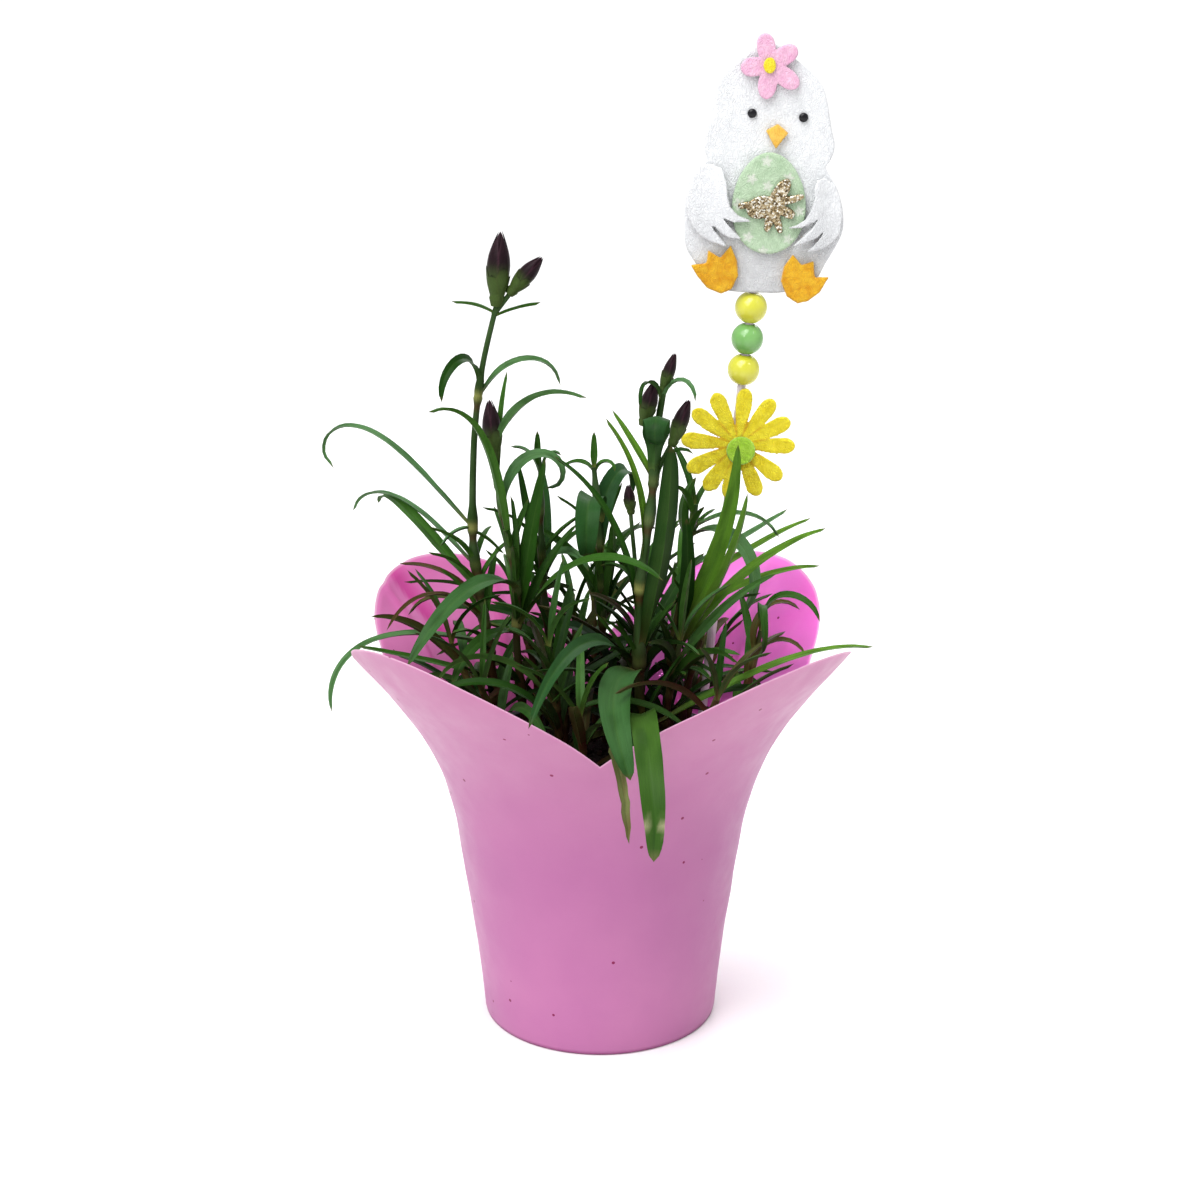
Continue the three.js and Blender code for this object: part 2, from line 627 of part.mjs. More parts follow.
function beadBlocked({ centre, axes }) {
  const [x, y, z] = centre;
  const half = Math.hypot(...axes[1]);
  const radius = Math.hypot(x, y);
  if (z < SOIL_TOP + SOIL_RELIEF + MARGIN && radius < POT_TOP_RADIUS) return true;
  if (z < POT_TOP + MARGIN && Math.abs(radius - POT_TOP_RADIUS) < half + POT_LIP + MARGIN) return true;
  const wall = coverRadius(z) - COVER_SHEET / 2;
  if (z < rimHeight(bearing(centre)) + MARGIN && Math.abs(radius - wall) < half + MARGIN) return true;
  if (Math.hypot(x - stickX(z), y - STICK_Y) < STICK_RADIUS + half + MARGIN) return true;
  const daisy = Math.hypot(x - DAISY_X, z - DAISY_HEIGHT) < DAISY_RADIUS + 2 * MARGIN;
  return daisy && Math.abs(y - STICK_Y + 2 * FELT) < 2 * FELT + half;
}

function crossesWall(row) {
  return row.some((bead, i) => {
    if (i === 0) return false;
    const ends = [row[i - 1].centre, bead.centre];
    const [inner, outer] = ends.map((p) => Math.hypot(p[0], p[1]) < coverRadius(p[2]));
    const low = Math.min(ends[0][2], ends[1][2]);
    return inner !== outer && low < rimHeight(bearing(bead.centre)) + MARGIN;
  });
}

function isClear(row) {
  if (row.some(beadBlocked) || crossesWall(row)) return false;
  return !row.some((bead) => beads.some((other) => meets(bead, other)));
}

// ---------- buds ----------
const BUD_SIDES = 6;
const BUD_OUTLINE = [[0, 0.5], [0.2, 0.86], [0.45, 1], [0.65, 0.82], [0.85, 0.42]];

function budAxis(lean, direction) {
  const [a, b] = [lean * DEGREE, direction * DEGREE];
  return [Math.sin(a) * Math.cos(b), Math.sin(a) * Math.sin(b), Math.cos(a)];
}

function budRings([, , seat, lean, direction, length, radius], grow) {
  const axis = budAxis(lean, direction);
  const [side, up] = tubeAxes(axis);
  const ring = (share, size) => Array.from({ length: BUD_SIDES }, (unused, j) => {
    const angle = (j / BUD_SIDES) * 2 * Math.PI;
    const spread = add(scale(side, size * Math.cos(angle)), scale(up, size * Math.sin(angle)));
    return add(add(seat, scale(axis, share * length)), spread);
  });
  const rings = BUD_OUTLINE.map(([share, size]) => ring(share, size * radius + grow));
  if (grow > 0) rings.unshift(ring(-grow / length, BUD_OUTLINE[0][1] * radius + grow));
  rings.push([add(seat, scale(axis, length + grow))]);
  return rings;
}

// The green cup under a bud, with a notched rim.
function calyxCup([, , seat, lean, direction, length, radius]) {
  const axis = budAxis(lean, direction);
  const [side, up] = tubeAxes(axis);
  const ring = (heights, size) => Array.from({ length: BUD_SIDES }, (unused, j) => {
    const angle = (j / BUD_SIDES) * 2 * Math.PI;
    const spread = add(scale(side, size * Math.cos(angle)), scale(up, size * Math.sin(angle)));
    return add(add(seat, scale(axis, heights[j % 2] * length)), spread);
  });
  return loft([
    ring([-0.14, -0.14], radius * 0.3),
    ring([0.02, 0.02], radius * 0.62 + 1),
    ring([0.2, 0.36], radius * 0.86 + 1.1),
  ]);
}

// ---------- the plant ----------
const shoots = new Map();

function tuftRows() {
  const rows = [];
  const feet = STEMS.map((row) => row[3][0]);
  for (let k = 0; rows.length < TUFTS && k < 80; k += 1) {
    const angle = k * GOLDEN_ANGLE * DEGREE;
    const radius = 6 + 36 * Math.sqrt((k % 20 + 0.5) / 20);
    const foot = [radius * Math.cos(angle), radius * Math.sin(angle), SOIL_TOP];
    const stickGap = Math.hypot(foot[0] - 34, foot[1] - STICK_Y);
    const near = feet.some((other) => Math.hypot(other[0] - foot[0], other[1] - foot[1]) < 8);
    if (near || stickGap < 6) continue;
    feet.push(foot);
    const lean = draw(0.25, 0.45) * radius;
    const height = draw(34, 62) - 0.3 * radius;
    const out = [Math.cos(angle), Math.sin(angle), 0];
    const points = [0, 0.5, 1].map((share) => {
      const level = add(foot, scale(out, lean * share * share));
      return [level[0], level[1], SOIL_TOP + height * share];
    });
    const joints = [];
    for (let z = SOIL_TOP + 10; z < SOIL_TOP + height - 5; z += 10) joints.push(z);
    const name = `leafy_shoot_${String(rows.length + 1).padStart(2, '0')}`;
    rows.push([name, TUFT_FOOT_RADIUS, TUFT_TIP_RADIUS, points, joints]);
  }
  return rows;
}

function tuftLeaves([, , , points, joints]) {
  const top = points[points.length - 1][2];
  const leaves = [];
  const first = draw(0, 180);
  joints.forEach((joint, i) => {
    for (const turn of [0, 180]) {
      const upper = (joint - SOIL_TOP) / (top - SOIL_TOP);
      leaves.push([joint, first + 90 * i + turn + draw(-15, 15), draw(40, 58), draw(3.2, 4.4),
        draw(45, 68), draw(-70, 10) + 15 * upper, draw(0.9, 1.5), draw(-20, 20), draw(-60, 60)]);
    }
  });
  for (let i = 0; i < 3; i += 1) {
    leaves.push([top - 1, first + 45 + 120 * i, draw(24, 38), draw(2.2, 3.2),
      draw(70, 84), draw(0, 60), 1, 0, 0]);
  }
  return leaves;
}

function stationsFor(length, placedByHand) {
  if (placedByHand && length > LONG_LEAF) return LONG_STATIONS;
  return length > SHORT_LEAF ? MIDDLE_STATIONS : SHORT_STATIONS;
}

function placeLeaf(row, points, owner, mustStay) {
  const root = stemPoint(points, row[0] + LEAF_RISE);
  for (const shorten of [1, 0.8, 0.62]) {
    for (const turn of TURNS_TO_TRY) {
      const tried = [...row];
      tried[1] += turn;
      tried[2] *= shorten;
      const line = leafLine(root, tried);
      const blade = leafBeads(line, tried[3], tried[2], owner);
      if (mustStay || isClear(blade)) {
        beads.push(...blade);
        return { line, width: tried[3], stations: stationsFor(tried[2], mustStay) };
      }
    }
  }
  return null;
}

function growPlant() {
  const tufts = tuftRows();
  const rows = [...STEMS, ...tufts];
  for (const row of rows) stemBeads(row[3], row[1], row[0]);
  for (const row of rows) {
    const own = LEAVES[row[0]];
    const leaves = own ?? tuftLeaves(row);
    const placed = leaves.map((leaf) => placeLeaf(leaf, row[3], row[0], Boolean(own)));
    shoots.set(row[0], { row, leaves: placed.filter(Boolean) });
  }
}

function shootSolid({ row, leaves }) {
  const parts = [stemSolid(row)];
  for (const [owner, footRadius, tipRadius, points] of TWIGS) {
    if (owner === row[0]) parts.push(tube(points, [footRadius, tipRadius], STEM_SIDES));
  }
  for (const { line, width, stations } of leaves) parts.push(leafSolid(line, width, stations));
  const buds = BUDS.filter((bud) => bud[1] === row[0]);
  for (const bud of buds) parts.push(calyxCup(bud));
  let solid = wasm.Manifold.union(parts);
  for (const bud of buds) solid = solid.subtract(loft(budRings(bud, GAP)));
  return largest(solid);
}

// ---------- pick ----------
// A flat felt piece from an outline in the plane of the pick, its back at a depth.
function feltPiece(points, x, z, back, thickness = FELT) {
  const outline = new THREE.Shape(points.map((p) => new THREE.Vector2(...p)));
  const geometry = new THREE.ExtrudeGeometry(outline, {
    depth: thickness,
    bevelEnabled: false,
    steps: 1,
  });
  return geometry.rotateX(Math.PI / 2).translate(x, back, z);
}

// Outlines in the plane of the pick, from the middle of the chick's lower edge.
const CHICK = [[-2, -0.5], [5.8, -0.4], [14.9, 2.1], [19.3, 9.3], [22.7, 15.2], [24.5, 19.7], [24.6, 24.3],
  [23.8, 28.8], [22.1, 33.6], [19.8, 36.8], [18, 40.3], [20.2, 43.2], [21.1, 47], [20.1, 51.6], [19.2, 56.1],
  [18.4, 60.5], [16.7, 65.5], [13, 69.9], [8, 74], [3.3, 77.9], [-0.6, 79], [-5.8, 78], [-9.2, 75],
  [-13.1, 72], [-15.8, 69.2], [-17.5, 65.5], [-18, 60.5], [-18.5, 56.1], [-20.2, 52.7], [-20.9, 48.2],
  [-20.6, 44.8], [-19.6, 43], [-22.3, 40.9], [-24.7, 37.4], [-26.2, 33.6], [-27, 27.8], [-27, 20.9],
  [-26.6, 15.2], [-24.8, 11.4], [-19.8, 4.8], [-14, 0.4]];
const WING_LEFT = [[-22.4, 41.2], [-24.9, 37], [-26.1, 33.2], [-26.7, 28.4], [-26, 24.2], [-24.4, 21],
  [-22.1, 18.4], [-18.8, 16.5], [-15.5, 15.6], [-13.3, 15.2], [-14.9, 17.1], [-17.8, 20.5], [-21.2, 25.5],
  [-17.6, 21.7], [-14.9, 19.1], [-12.3, 17.9], [-8.8, 17.8], [-11.7, 20.5], [-14.4, 23.4], [-16.4, 26.8],
  [-13.7, 24.2], [-10.8, 23.1], [-5.6, 23.3], [-9.9, 25], [-12.5, 27.8], [-13.5, 31.6], [-13.6, 34.8],
  [-15.3, 40.2], [-19.2, 41.5]];
const WING_RIGHT = [[14.5, 33.2], [14.9, 30.7], [13.7, 26.8], [11.9, 23.8], [9, 22], [6.1, 21],
  [10.6, 21.2], [14.2, 23], [17.6, 25.8], [14.6, 21.6], [11.4, 18.4], [7.9, 15.2], [12.4, 16.4],
  [16.3, 18.6], [19.7, 22.3], [17.2, 18], [15, 15.4], [12.5, 13.2], [18, 14.2], [21.1, 16.2],
  [23.3, 18.8], [24.1, 24.6], [23.3, 30], [21.5, 34.6], [18, 37], [15.4, 36.4]];
const FOOT_LEFT = [[-24.9, 8.9], [-22.9, 5.4], [-19.4, 1.3], [-14.9, -0.5], [-11.5, 1], [-9.4, 5.4],
  [-9.8, 10.3], [-12, 15.2], [-15.3, 11.3], [-19.3, 13.7], [-19.8, 9.5]];
const FOOT_RIGHT = [[8.3, 12.3], [5.4, 8.4], [4.6, 3.5], [6.6, -1.4], [10.1, -3.7], [13.6, -2.9],
  [17.4, 0], [20.2, 4.9], [15.6, 4.9], [15.1, 10.1], [11.3, 8.9]];
const BEAK = [[-1.4, 51.9], [1.9, 46.2], [5.9, 51.2], [2.5, 54.1]];
const EYES = [['eye_left', -5.8, 57.3], ['eye_right', 10.7, 56]];
// The egg is a little narrower at the top.
const EGG_HALF = [12, 16.3];
const EGG_POINT = 0.1;
const EGG_X = 0.1;
const EGG_Z = 28.8;
const BOW_X = 1;
const BOW_Z = 28.8;
const BOW_THICK = 1.2;
// Arms of the bow: direction, reach, width.
const BOW_ARMS = [
  [56, 9.6, 4.8],
  [14, 11.6, 2.5],
  [-29, 9.4, 3.4],
  [-72, 10.6, 2.7],
  [-100, 9.6, 2.9],
  [196, 8.6, 7.2],
  [183, 12.1, 2.6],
];
// Petals on the head: direction, reach.
const HEAD_FLOWER = [-0.7, 72.4];
const HEAD_PETALS = [[101, 10], [31.5, 10.2], [-36, 11.6], [-95, 10.6], [186, 9.2]];
const PETAL_WIDTH = 6.5;
const PETAL_TAPER = 0.22;

function ellipse(halfWidth, halfHeight, count, point = 0) {
  return Array.from({ length: count }, (unused, i) => {
    const angle = (i / count) * 2 * Math.PI;
    const narrow = 1 - point * Math.sin(angle);
    return [halfWidth * Math.cos(angle) * narrow, halfHeight * Math.sin(angle)];
  });
}

function petalOutline(degrees, root, reach, width, taper = 0) {
  const along = [Math.cos(degrees * DEGREE), Math.sin(degrees * DEGREE)];
  const middle = (root + reach) / 2;
  const half = (reach - root) / 2;
  return ellipse(half, width / 2, 8).map(([u, v]) => {
    const across = v * (1 + (taper * u) / half);
    return [
      (middle + u) * along[0] - across * along[1],
      (middle + u) * along[1] + across * along[0],
    ];
  });
}

function daisyOutline() {
  const outline = [];
  const notch = 5.8;
  const sides = [[8, 1.6], [12, 2.3], [15.4, 2.75], [18.2, 1.9]];
  const local = [...sides.map(([u, v]) => [u, -v]), [DAISY_RADIUS, 0], ...sides.reverse()];
  DAISY_PETALS.forEach((degrees, i) => {
    const before = i > 0 ? DAISY_PETALS[i - 1] : DAISY_PETALS[DAISY_PETALS.length - 1] - 360;
    const between = ((degrees + before) / 2) * DEGREE;
    const turn = degrees * DEGREE;
    outline.push([notch * Math.cos(between), notch * Math.sin(between)]);
    for (const [u, v] of local) {
      outline.push([u * Math.cos(turn) - v * Math.sin(turn), u * Math.sin(turn) + v * Math.cos(turn)]);
    }
  });
  return outline;
}

function fused(pieces) {
  return largest(wasm.Manifold.union(pieces.map(solidOf)));
}

function buildPick() {
  const white = 0xf4f3f0;
  const felt = 0.95;
  const stick = tube([stickPoint(STICK_FOOT[2]), stickPoint(STICK_TOP)], [STICK_RADIUS, STICK_RADIUS], 12);
  publish('pick_stick', geometryOf(stick), 0xe6dde0, 0.5);
  const beadColours = [0xe6e05a, 0x8ccb78, 0xe6e05a];
  BEAD_HEIGHTS.forEach((z, i) => {
    const limit = Math.asin(BEAD_BORE / BEAD_RADIUS);
    const profile = Array.from({ length: 7 }, (unused, k) => {
      const angle = mix(limit, Math.PI - limit, k / 6) - Math.PI / 2;
      return new THREE.Vector2(BEAD_RADIUS * Math.cos(angle), BEAD_RADIUS * Math.sin(angle));
    });
    profile.push(profile[0].clone());
    const bead = new THREE.LatheGeometry(profile, 14).rotateX(Math.PI / 2).rotateY(Math.atan(STICK_LEAN));
    publish(`bead_${i + 1}`, bead.translate(...stickPoint(z)), beadColours[i], 0.2);
  });
  const front = STICK_Y - STICK_RADIUS - GAP;
  publish('daisy', feltPiece(daisyOutline(), DAISY_X, DAISY_HEIGHT, front), 0xf0dc28, felt);
  const dotBack = front - FELT - GAP;
  publish('daisy_centre', feltPiece(ellipse(4.8, 4.8, 20), DAISY_X + 0.9, DAISY_HEIGHT - 1.8, dotBack, 1.5),
    0xa8d030, felt);

  const place = (points, x, z, back, thickness) =>
    feltPiece(points, CHICK_X + x, CHICK_Z + z, back, thickness);
  publish('chick_body', place(CHICK, 0, 0, front), white, felt);
  const onBody = front - FELT - GAP;
  publish('egg', place(ellipse(...EGG_HALF, 20, EGG_POINT), EGG_X, EGG_Z, onBody), 0xb9dcb4, felt);
  const onEgg = onBody - FELT - GAP;
  const arms = BOW_ARMS.map(([degrees, reach, width]) =>
    place(petalOutline(degrees, -1.4, reach, width), BOW_X, BOW_Z, onEgg, BOW_THICK));
  publish('bow', geometryOf(fused(arms)), 0xa8873c, 0.35, 0.6);

  // The wings are glued to the body and bend forward over the egg.
  const widerEgg = ellipse(EGG_HALF[0] + GAP, EGG_HALF[1] + GAP, 20, EGG_POINT);
  const eggGrown = solidOf(place(widerEgg, EGG_X, EGG_Z, onBody + GAP, FELT + 2 * GAP));
  const roundBow = ellipse(14, 11.5, 16);
  const bowGrown = solidOf(place(roundBow, BOW_X, BOW_Z, onEgg + GAP, BOW_THICK + 2 * GAP));
  for (const [name, points] of [['wing_left', WING_LEFT], ['wing_right', WING_RIGHT]]) {
    const wing = solidOf(place(points, 0, 0, onBody, 2 * FELT + GAP));
    publish(name, geometryOf(largest(wing.subtract(eggGrown).subtract(bowGrown))), white, felt);
  }
  publish('foot_left', place(FOOT_LEFT, 0, 0, onBody), 0xf0b428, felt);
  publish('foot_right', place(FOOT_RIGHT, 0, 0, onBody), 0xf0b428, felt);
  publish('beak', place(BEAK, 0, 0, onBody), 0xf5b93c, felt);
  for (const [name, x, z] of EYES) {
    const eye = new THREE.CylinderGeometry(1, 1.5, 1, 12).translate(0, 0.5, 0).rotateZ(Math.PI);
    publish(name, eye.translate(CHICK_X + x, onBody, CHICK_Z + z), 0x101014, 0.15);
  }
  const [flowerX, flowerZ] = HEAD_FLOWER;
  const petals = HEAD_PETALS.map(([degrees, reach]) =>
    place(petalOutline(degrees, -1, reach, PETAL_WIDTH, PETAL_TAPER), flowerX, flowerZ, onBody));
  publish('head_flower', geometryOf(fused(petals)), 0xf6bcdf, felt);
  const dot = place(ellipse(2, 2.5, 14), flowerX, flowerZ, onBody - FELT - GAP, 1);
  publish('head_flower_centre', dot, 0xf2dc1e, felt);
}

// ---------- assembly ----------
growPlant();

let soil = soilBlock();
for (const { row } of shoots.values()) {
  const [, footRadius, , points] = row;
  const [x, y, z] = points[0];
  const radius = (footRadius * JOINT_SWELL + HOLE_CLEARANCE) / Math.cos(Math.PI / STEM_SIDES);
  const hole = new THREE.CylinderGeometry(radius, radius, BURIED + 8, STEM_SIDES);
  soil = soil.subtract(solidOf(hole.rotateX(Math.PI / 2).translate(x, y, z - BURIED / 2 + 4 - GAP)));
}
const stickHole = [stickPoint(STICK_FOOT[2] - GAP), stickPoint(SOIL_TOP + 8)];
const stickHoleRadius = STICK_RADIUS + HOLE_CLEARANCE;
soil = soil.subtract(tube(stickHole, [stickHoleRadius, stickHoleRadius], 12));

publish('pot_cover', geometryOf(potCover()), 0xd68cba, 0.35);
publish('nursery_pot', nurseryPot(), 0x2a2a2c, 0.6);
publish('potting_soil', geometryOf(largest(soil)), 0x2b211b, 0.95);
for (const [name, shoot] of shoots) publish(name, geometryOf(shootSolid(shoot)), 0x3f7040, 0.55);
for (const bud of BUDS) publish(bud[0], geometryOf(loft(budRings(bud, 0))), 0x3a2334, 0.5);
buildPick();

export default group;
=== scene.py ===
# %% [markdown]
# # A potted dianthus in a flared pot cover, with a felt chick on a stick
# The real object is a young dianthus in its nursery pot. A pink plastic cover hides the pot, and a
# small decoration of felt and beads stands in the soil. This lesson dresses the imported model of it.
# Every piece is made in millimetres by the same rules that made the solids, and turned into metres
# at the last moment, so each fine piece lands exactly on the plain solid that it stands for.

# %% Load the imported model
import math
import random

import bmesh
import bpy
import numpy as np
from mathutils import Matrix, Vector, noise


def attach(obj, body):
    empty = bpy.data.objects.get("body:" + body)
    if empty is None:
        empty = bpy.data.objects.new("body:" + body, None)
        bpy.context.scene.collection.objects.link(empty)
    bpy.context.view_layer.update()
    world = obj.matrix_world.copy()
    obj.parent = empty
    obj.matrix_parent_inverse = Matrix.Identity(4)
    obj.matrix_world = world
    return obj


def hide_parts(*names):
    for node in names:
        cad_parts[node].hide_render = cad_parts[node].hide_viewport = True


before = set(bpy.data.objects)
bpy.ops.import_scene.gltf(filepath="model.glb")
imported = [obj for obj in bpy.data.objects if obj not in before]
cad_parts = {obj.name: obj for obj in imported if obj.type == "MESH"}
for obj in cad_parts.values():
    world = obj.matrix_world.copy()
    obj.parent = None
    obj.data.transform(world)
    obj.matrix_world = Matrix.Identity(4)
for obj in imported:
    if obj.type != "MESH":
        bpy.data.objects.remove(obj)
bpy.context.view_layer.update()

MM = 0.001
scene = bpy.context.scene
print("solids in the packed model:", len(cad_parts))

# %% [markdown]
# ## Camera
# The plant is looked at from a little above its leaves, from less than a metre away. A lens of
# 67 mm on a 36 mm sensor gives the calm perspective of a product picture at that distance. The
# camera could aim at the plant with a constraint, but a plain place and angle is easier to read.

# %% Camera
CAMERA_TILT = 17.2
camera_lens = bpy.data.cameras.new("camera")
camera_lens.lens = 67.2
camera_lens.sensor_width = 36
camera = bpy.data.objects.new("camera", camera_lens)
camera.location = (0, -0.72, 0.372)
camera.rotation_euler = (math.radians(90 - CAMERA_TILT), 0, 0)
scene.collection.objects.link(camera)
scene.camera = camera
print("camera looks down by", CAMERA_TILT, "degrees")

# %% [markdown]
# ## Floor and studio light
# A white paper floor and a pale sky of light keep the picture clean. A wide sun, as through a
# large window at the upper left, gives every form a bright and a shaded side, and reaches the far
# floor too, which a lamp near the plant wouldn't. A lamp above lights the inside of the cover, a
# narrow one its right lobe, and one behind shines through leaves and film. A small weak lamp gives
# the glint on beads and eyes. The sky lights the scene gently, but is seen pure white.

# %% Floor and studio light
SKY_LIGHT, SKY_SEEN = 0.66, 1.05
# Lamps: name, place, aim, width, watts, spread of the beam in degrees.
LAMPS = [
    ("key", (-0.55, -0.95, 1.15), (0, 0, 0.15), 0.8, 3, 180),
    ("glint", (-0.45, -0.9, 0.75), (0, 0, 0.25), 0.07, 0.8, 180),
    ("top", (-0.05, -0.3, 1.0), (0.05, 0.08, 0.13), 0.5, 3, 180),
    ("back", (0.35, 1.0, 0.95), (0, 0, 0.2), 0.8, 6, 180),
    ("lobe", (0.3, -0.12, 0.45), (0.1, 0.06, 0.125), 0.1, 0.06, 24),
]
FLOOR_RADIUS = 14

sky = bpy.data.worlds.new("studio")
sky.use_nodes = True
background = sky.node_tree.nodes["Background"]
background.inputs["Color"].default_value = (1, 1, 1, 1)
seen = sky.node_tree.nodes.new("ShaderNodeLightPath").outputs["Is Camera Ray"]
strength = sky.node_tree.nodes.new("ShaderNodeMapRange")
strength.inputs["To Min"].default_value = SKY_LIGHT
strength.inputs["To Max"].default_value = SKY_SEEN
sky.node_tree.links.new(seen, strength.inputs["Value"])
sky.node_tree.links.new(strength.outputs["Result"], background.inputs["Strength"])
scene.world = sky
scene.view_settings.view_transform = "Standard"


def stand(light, place, direction):
    made = bpy.data.objects.new(light.name, light)
    made.location = place
    made.rotation_euler = Vector(direction).to_track_quat("-Z", "Y").to_euler()
    scene.collection.objects.link(made)


for name, place, aim, width, watts, spread in LAMPS:
    lamp = bpy.data.lights.new(name, "AREA")
    lamp.shape = "DISK"
    lamp.size = width
    lamp.energy = watts
    lamp.spread = math.radians(spread)
    stand(lamp, place, Vector(aim) - Vector(place))
window = bpy.data.lights.new("window", "SUN")
window.angle = math.radians(45)
window.energy = 1.85
stand(window, (0, 0, 0), (0.5, 0.55, -0.95))

floor_mesh = bpy.data.meshes.new("paper_floor")
floor_rings = bmesh.new()
bmesh.ops.create_circle(floor_rings, cap_ends=True, radius=FLOOR_RADIUS, segments=64)
floor_rings.to_mesh(floor_mesh)
floor = bpy.data.objects.new("paper_floor", floor_mesh)
scene.collection.objects.link(floor)
print("lamps:", len(LAMPS) + 1)

# %% [markdown]
# ## Finishes from nodes
# A finish is one Principled shader whose colour, roughness and bump come from noise at the scale
# of the real surface. These helpers keep each recipe short: `node` adds a node and plugs values or
# other nodes into it, and `shades` is a ramp between colours. Colours are written as on a paint
# card, from 0 to 255, and turned into the linear numbers that the renderer counts in.

# %% Colours
SHADE = 0.8


def linear(value):
    share = value / 255
    return share / 12.92 if share <= 0.04045 else ((share + 0.055) / 1.055) ** 2.4


def paint(red, green, blue):
    """A colour from the paint card, mixed a fifth darker because the studio light is strong."""
    return tuple(SHADE * linear(value) for value in (red, green, blue)) + (1.0,)


def blend(first, second, share):
    share = min(max(share, 0.0), 1.0)
    return tuple(a + (b - a) * share for a, b in zip(first, second))


def grey(value):
    return (value, value, value, 1)


# %% Nodes
def node(tree, kind, plugs=None, **settings):
    made = tree.nodes.new("ShaderNode" + kind)
    for name, value in settings.items():
        setattr(made, name, value)
    for name, value in (plugs or {}).items():
        if isinstance(value, bpy.types.NodeSocket):
            tree.links.new(value, made.inputs[name])
        else:
            made.inputs[name].default_value = value
    return made


def shades(tree, share, *stops):
    ramp = node(tree, "ValToRGB", {"Fac": share})
    while len(ramp.color_ramp.elements) < len(stops):
        ramp.color_ramp.elements.new(0.5)
    for element, (position, colour) in zip(ramp.color_ramp.elements, stops):
        element.position = position
        element.color = colour
    return ramp.outputs["Color"]


def mixed(tree, share, first, second, how="MIX"):
    plugs = {"Factor": share, "A": first, "B": second}
    return node(tree, "Mix", plugs, data_type="RGBA", blend_type=how).outputs["Result"]


def tinted(tree, colour, factor):
    return mixed(tree, 1.0, colour, factor, "MULTIPLY")


def maths(tree, operation, first, second, **settings):
    plugs = {0: first, 1: second}
    return node(tree, "Math", plugs, operation=operation, **settings).outputs["Value"]


def ranged(tree, value, low, high, top=1.0):
    plugs = {"Value": value, "From Min": low, "From Max": high, "To Max": top}
    return node(tree, "MapRange", plugs).outputs["Result"]


def channel(tree, colour, name):
    return node(tree, "SeparateColor", {"Color": colour}).outputs[name]


def attribute(tree, name, output="Color"):
    return node(tree, "Attribute", attribute_name=name).outputs[output]


def on_object(tree):
    return node(tree, "TexCoord").outputs["Object"]


# %% A finish and its parts
def new_finish(name, **sockets):
    material = bpy.data.materials.new(name)
    material.use_nodes = True
    shader = material.node_tree.nodes["Principled BSDF"]
    for socket, value in sockets.items():
        shader.inputs[socket.replace("_", " ")].default_value = value
    return material, material.node_tree, shader


def grain(tree, scale, detail=3.0, stretch=None):
    where = on_object(tree)
    if stretch:
        where = node(tree, "Mapping", {"Vector": where, "Scale": stretch}).outputs["Vector"]
    plugs = {"Vector": where, "Scale": scale, "Detail": detail}
    return node(tree, "TexNoise", plugs).outputs["Fac"]


def feed(tree, shader, socket, share, *stops):
    """Drives one socket of the shader by a ramp of shades."""
    tree.links.new(shades(tree, share, *stops), shader.inputs[socket])


def raise_grain(tree, shader, height, strength, distance):
    bump = node(tree, "Bump", {"Height": height, "Strength": strength, "Distance": distance})
    tree.links.new(bump.outputs["Normal"], shader.inputs["Normal"])


def let_light_through(material, colour, share):
    tree = material.node_tree
    shader = tree.nodes["Principled BSDF"]
    through = node(tree, "BsdfTranslucent", {"Color": colour})
    both = node(tree, "MixShader", {"Fac": share})
    tree.links.new(shader.outputs["BSDF"], both.inputs[1])
    tree.links.new(through.outputs["BSDF"], both.inputs[2])
    tree.links.new(both.outputs["Shader"], tree.nodes["Material Output"].inputs["Surface"])


# %% [markdown]
# ## The floor's paper
# Even a blank floor has a finish: the faint tooth of matt paper.

# %% Paper finish
paper, tree, shader = new_finish("matt_paper", Roughness=0.9)
PAPER = 0.985
feed(tree, shader, "Base Color", grain(tree, 3.0), (0.3, grey(PAPER)), (0.7, grey(PAPER * 0.985)))
raise_grain(tree, shader, grain(tree, 900.0), 0.05, 0.0002)
floor_mesh.materials.append(paper)
print("paper floor", 2 * FLOOR_RADIUS, "m across")

# %% [markdown]
# ## Gathering a piece
# Most pieces here are skins through rings of points: pots, stems, leaves, beads. `Skin` gathers
# them in one mesh. Every point carries a paint colour, worked out by rule, and a grain position,
# so that the veins of a leaf follow the leaf and not the room.

# %% Skins through rings
class Skin:
    def __init__(self):
        self.points = []
        self.paints = []
        self.grains = []
        self.faces = []

    def ring(self, points, paints, grains):
        first = len(self.points)
        self.points.extend(points)
        self.paints.extend(paints)
        self.grains.extend(grains)
        return range(first, len(self.points))

    def join(self, low, high):
        count = max(len(low), len(high))
        for j in range(count):
            after = (j + 1) % count
            if len(low) == 1:
                self.faces.append((low[0], high[after], high[j]))
            elif len(high) == 1:
                self.faces.append((low[j], low[after], high[0]))
            else:
                self.faces.append((low[j], low[after], high[after], high[j]))

    def loft(self, rings):
        rows = [self.ring(*ring) for ring in rings]
        for low, high in zip(rows, rows[1:]):
            self.join(low, high)
        if len(rows[0]) > 2:
            self.faces.append(tuple(reversed(rows[0])))
        if len(rows[-1]) > 2:
            self.faces.append(tuple(rows[-1]))


# %% Finished pieces
def finish_piece(piece, material, nodes):
    piece.data.materials.append(material)
    scene.collection.objects.link(piece)
    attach(piece, "root")
    if nodes:
        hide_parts(*nodes)
    return piece


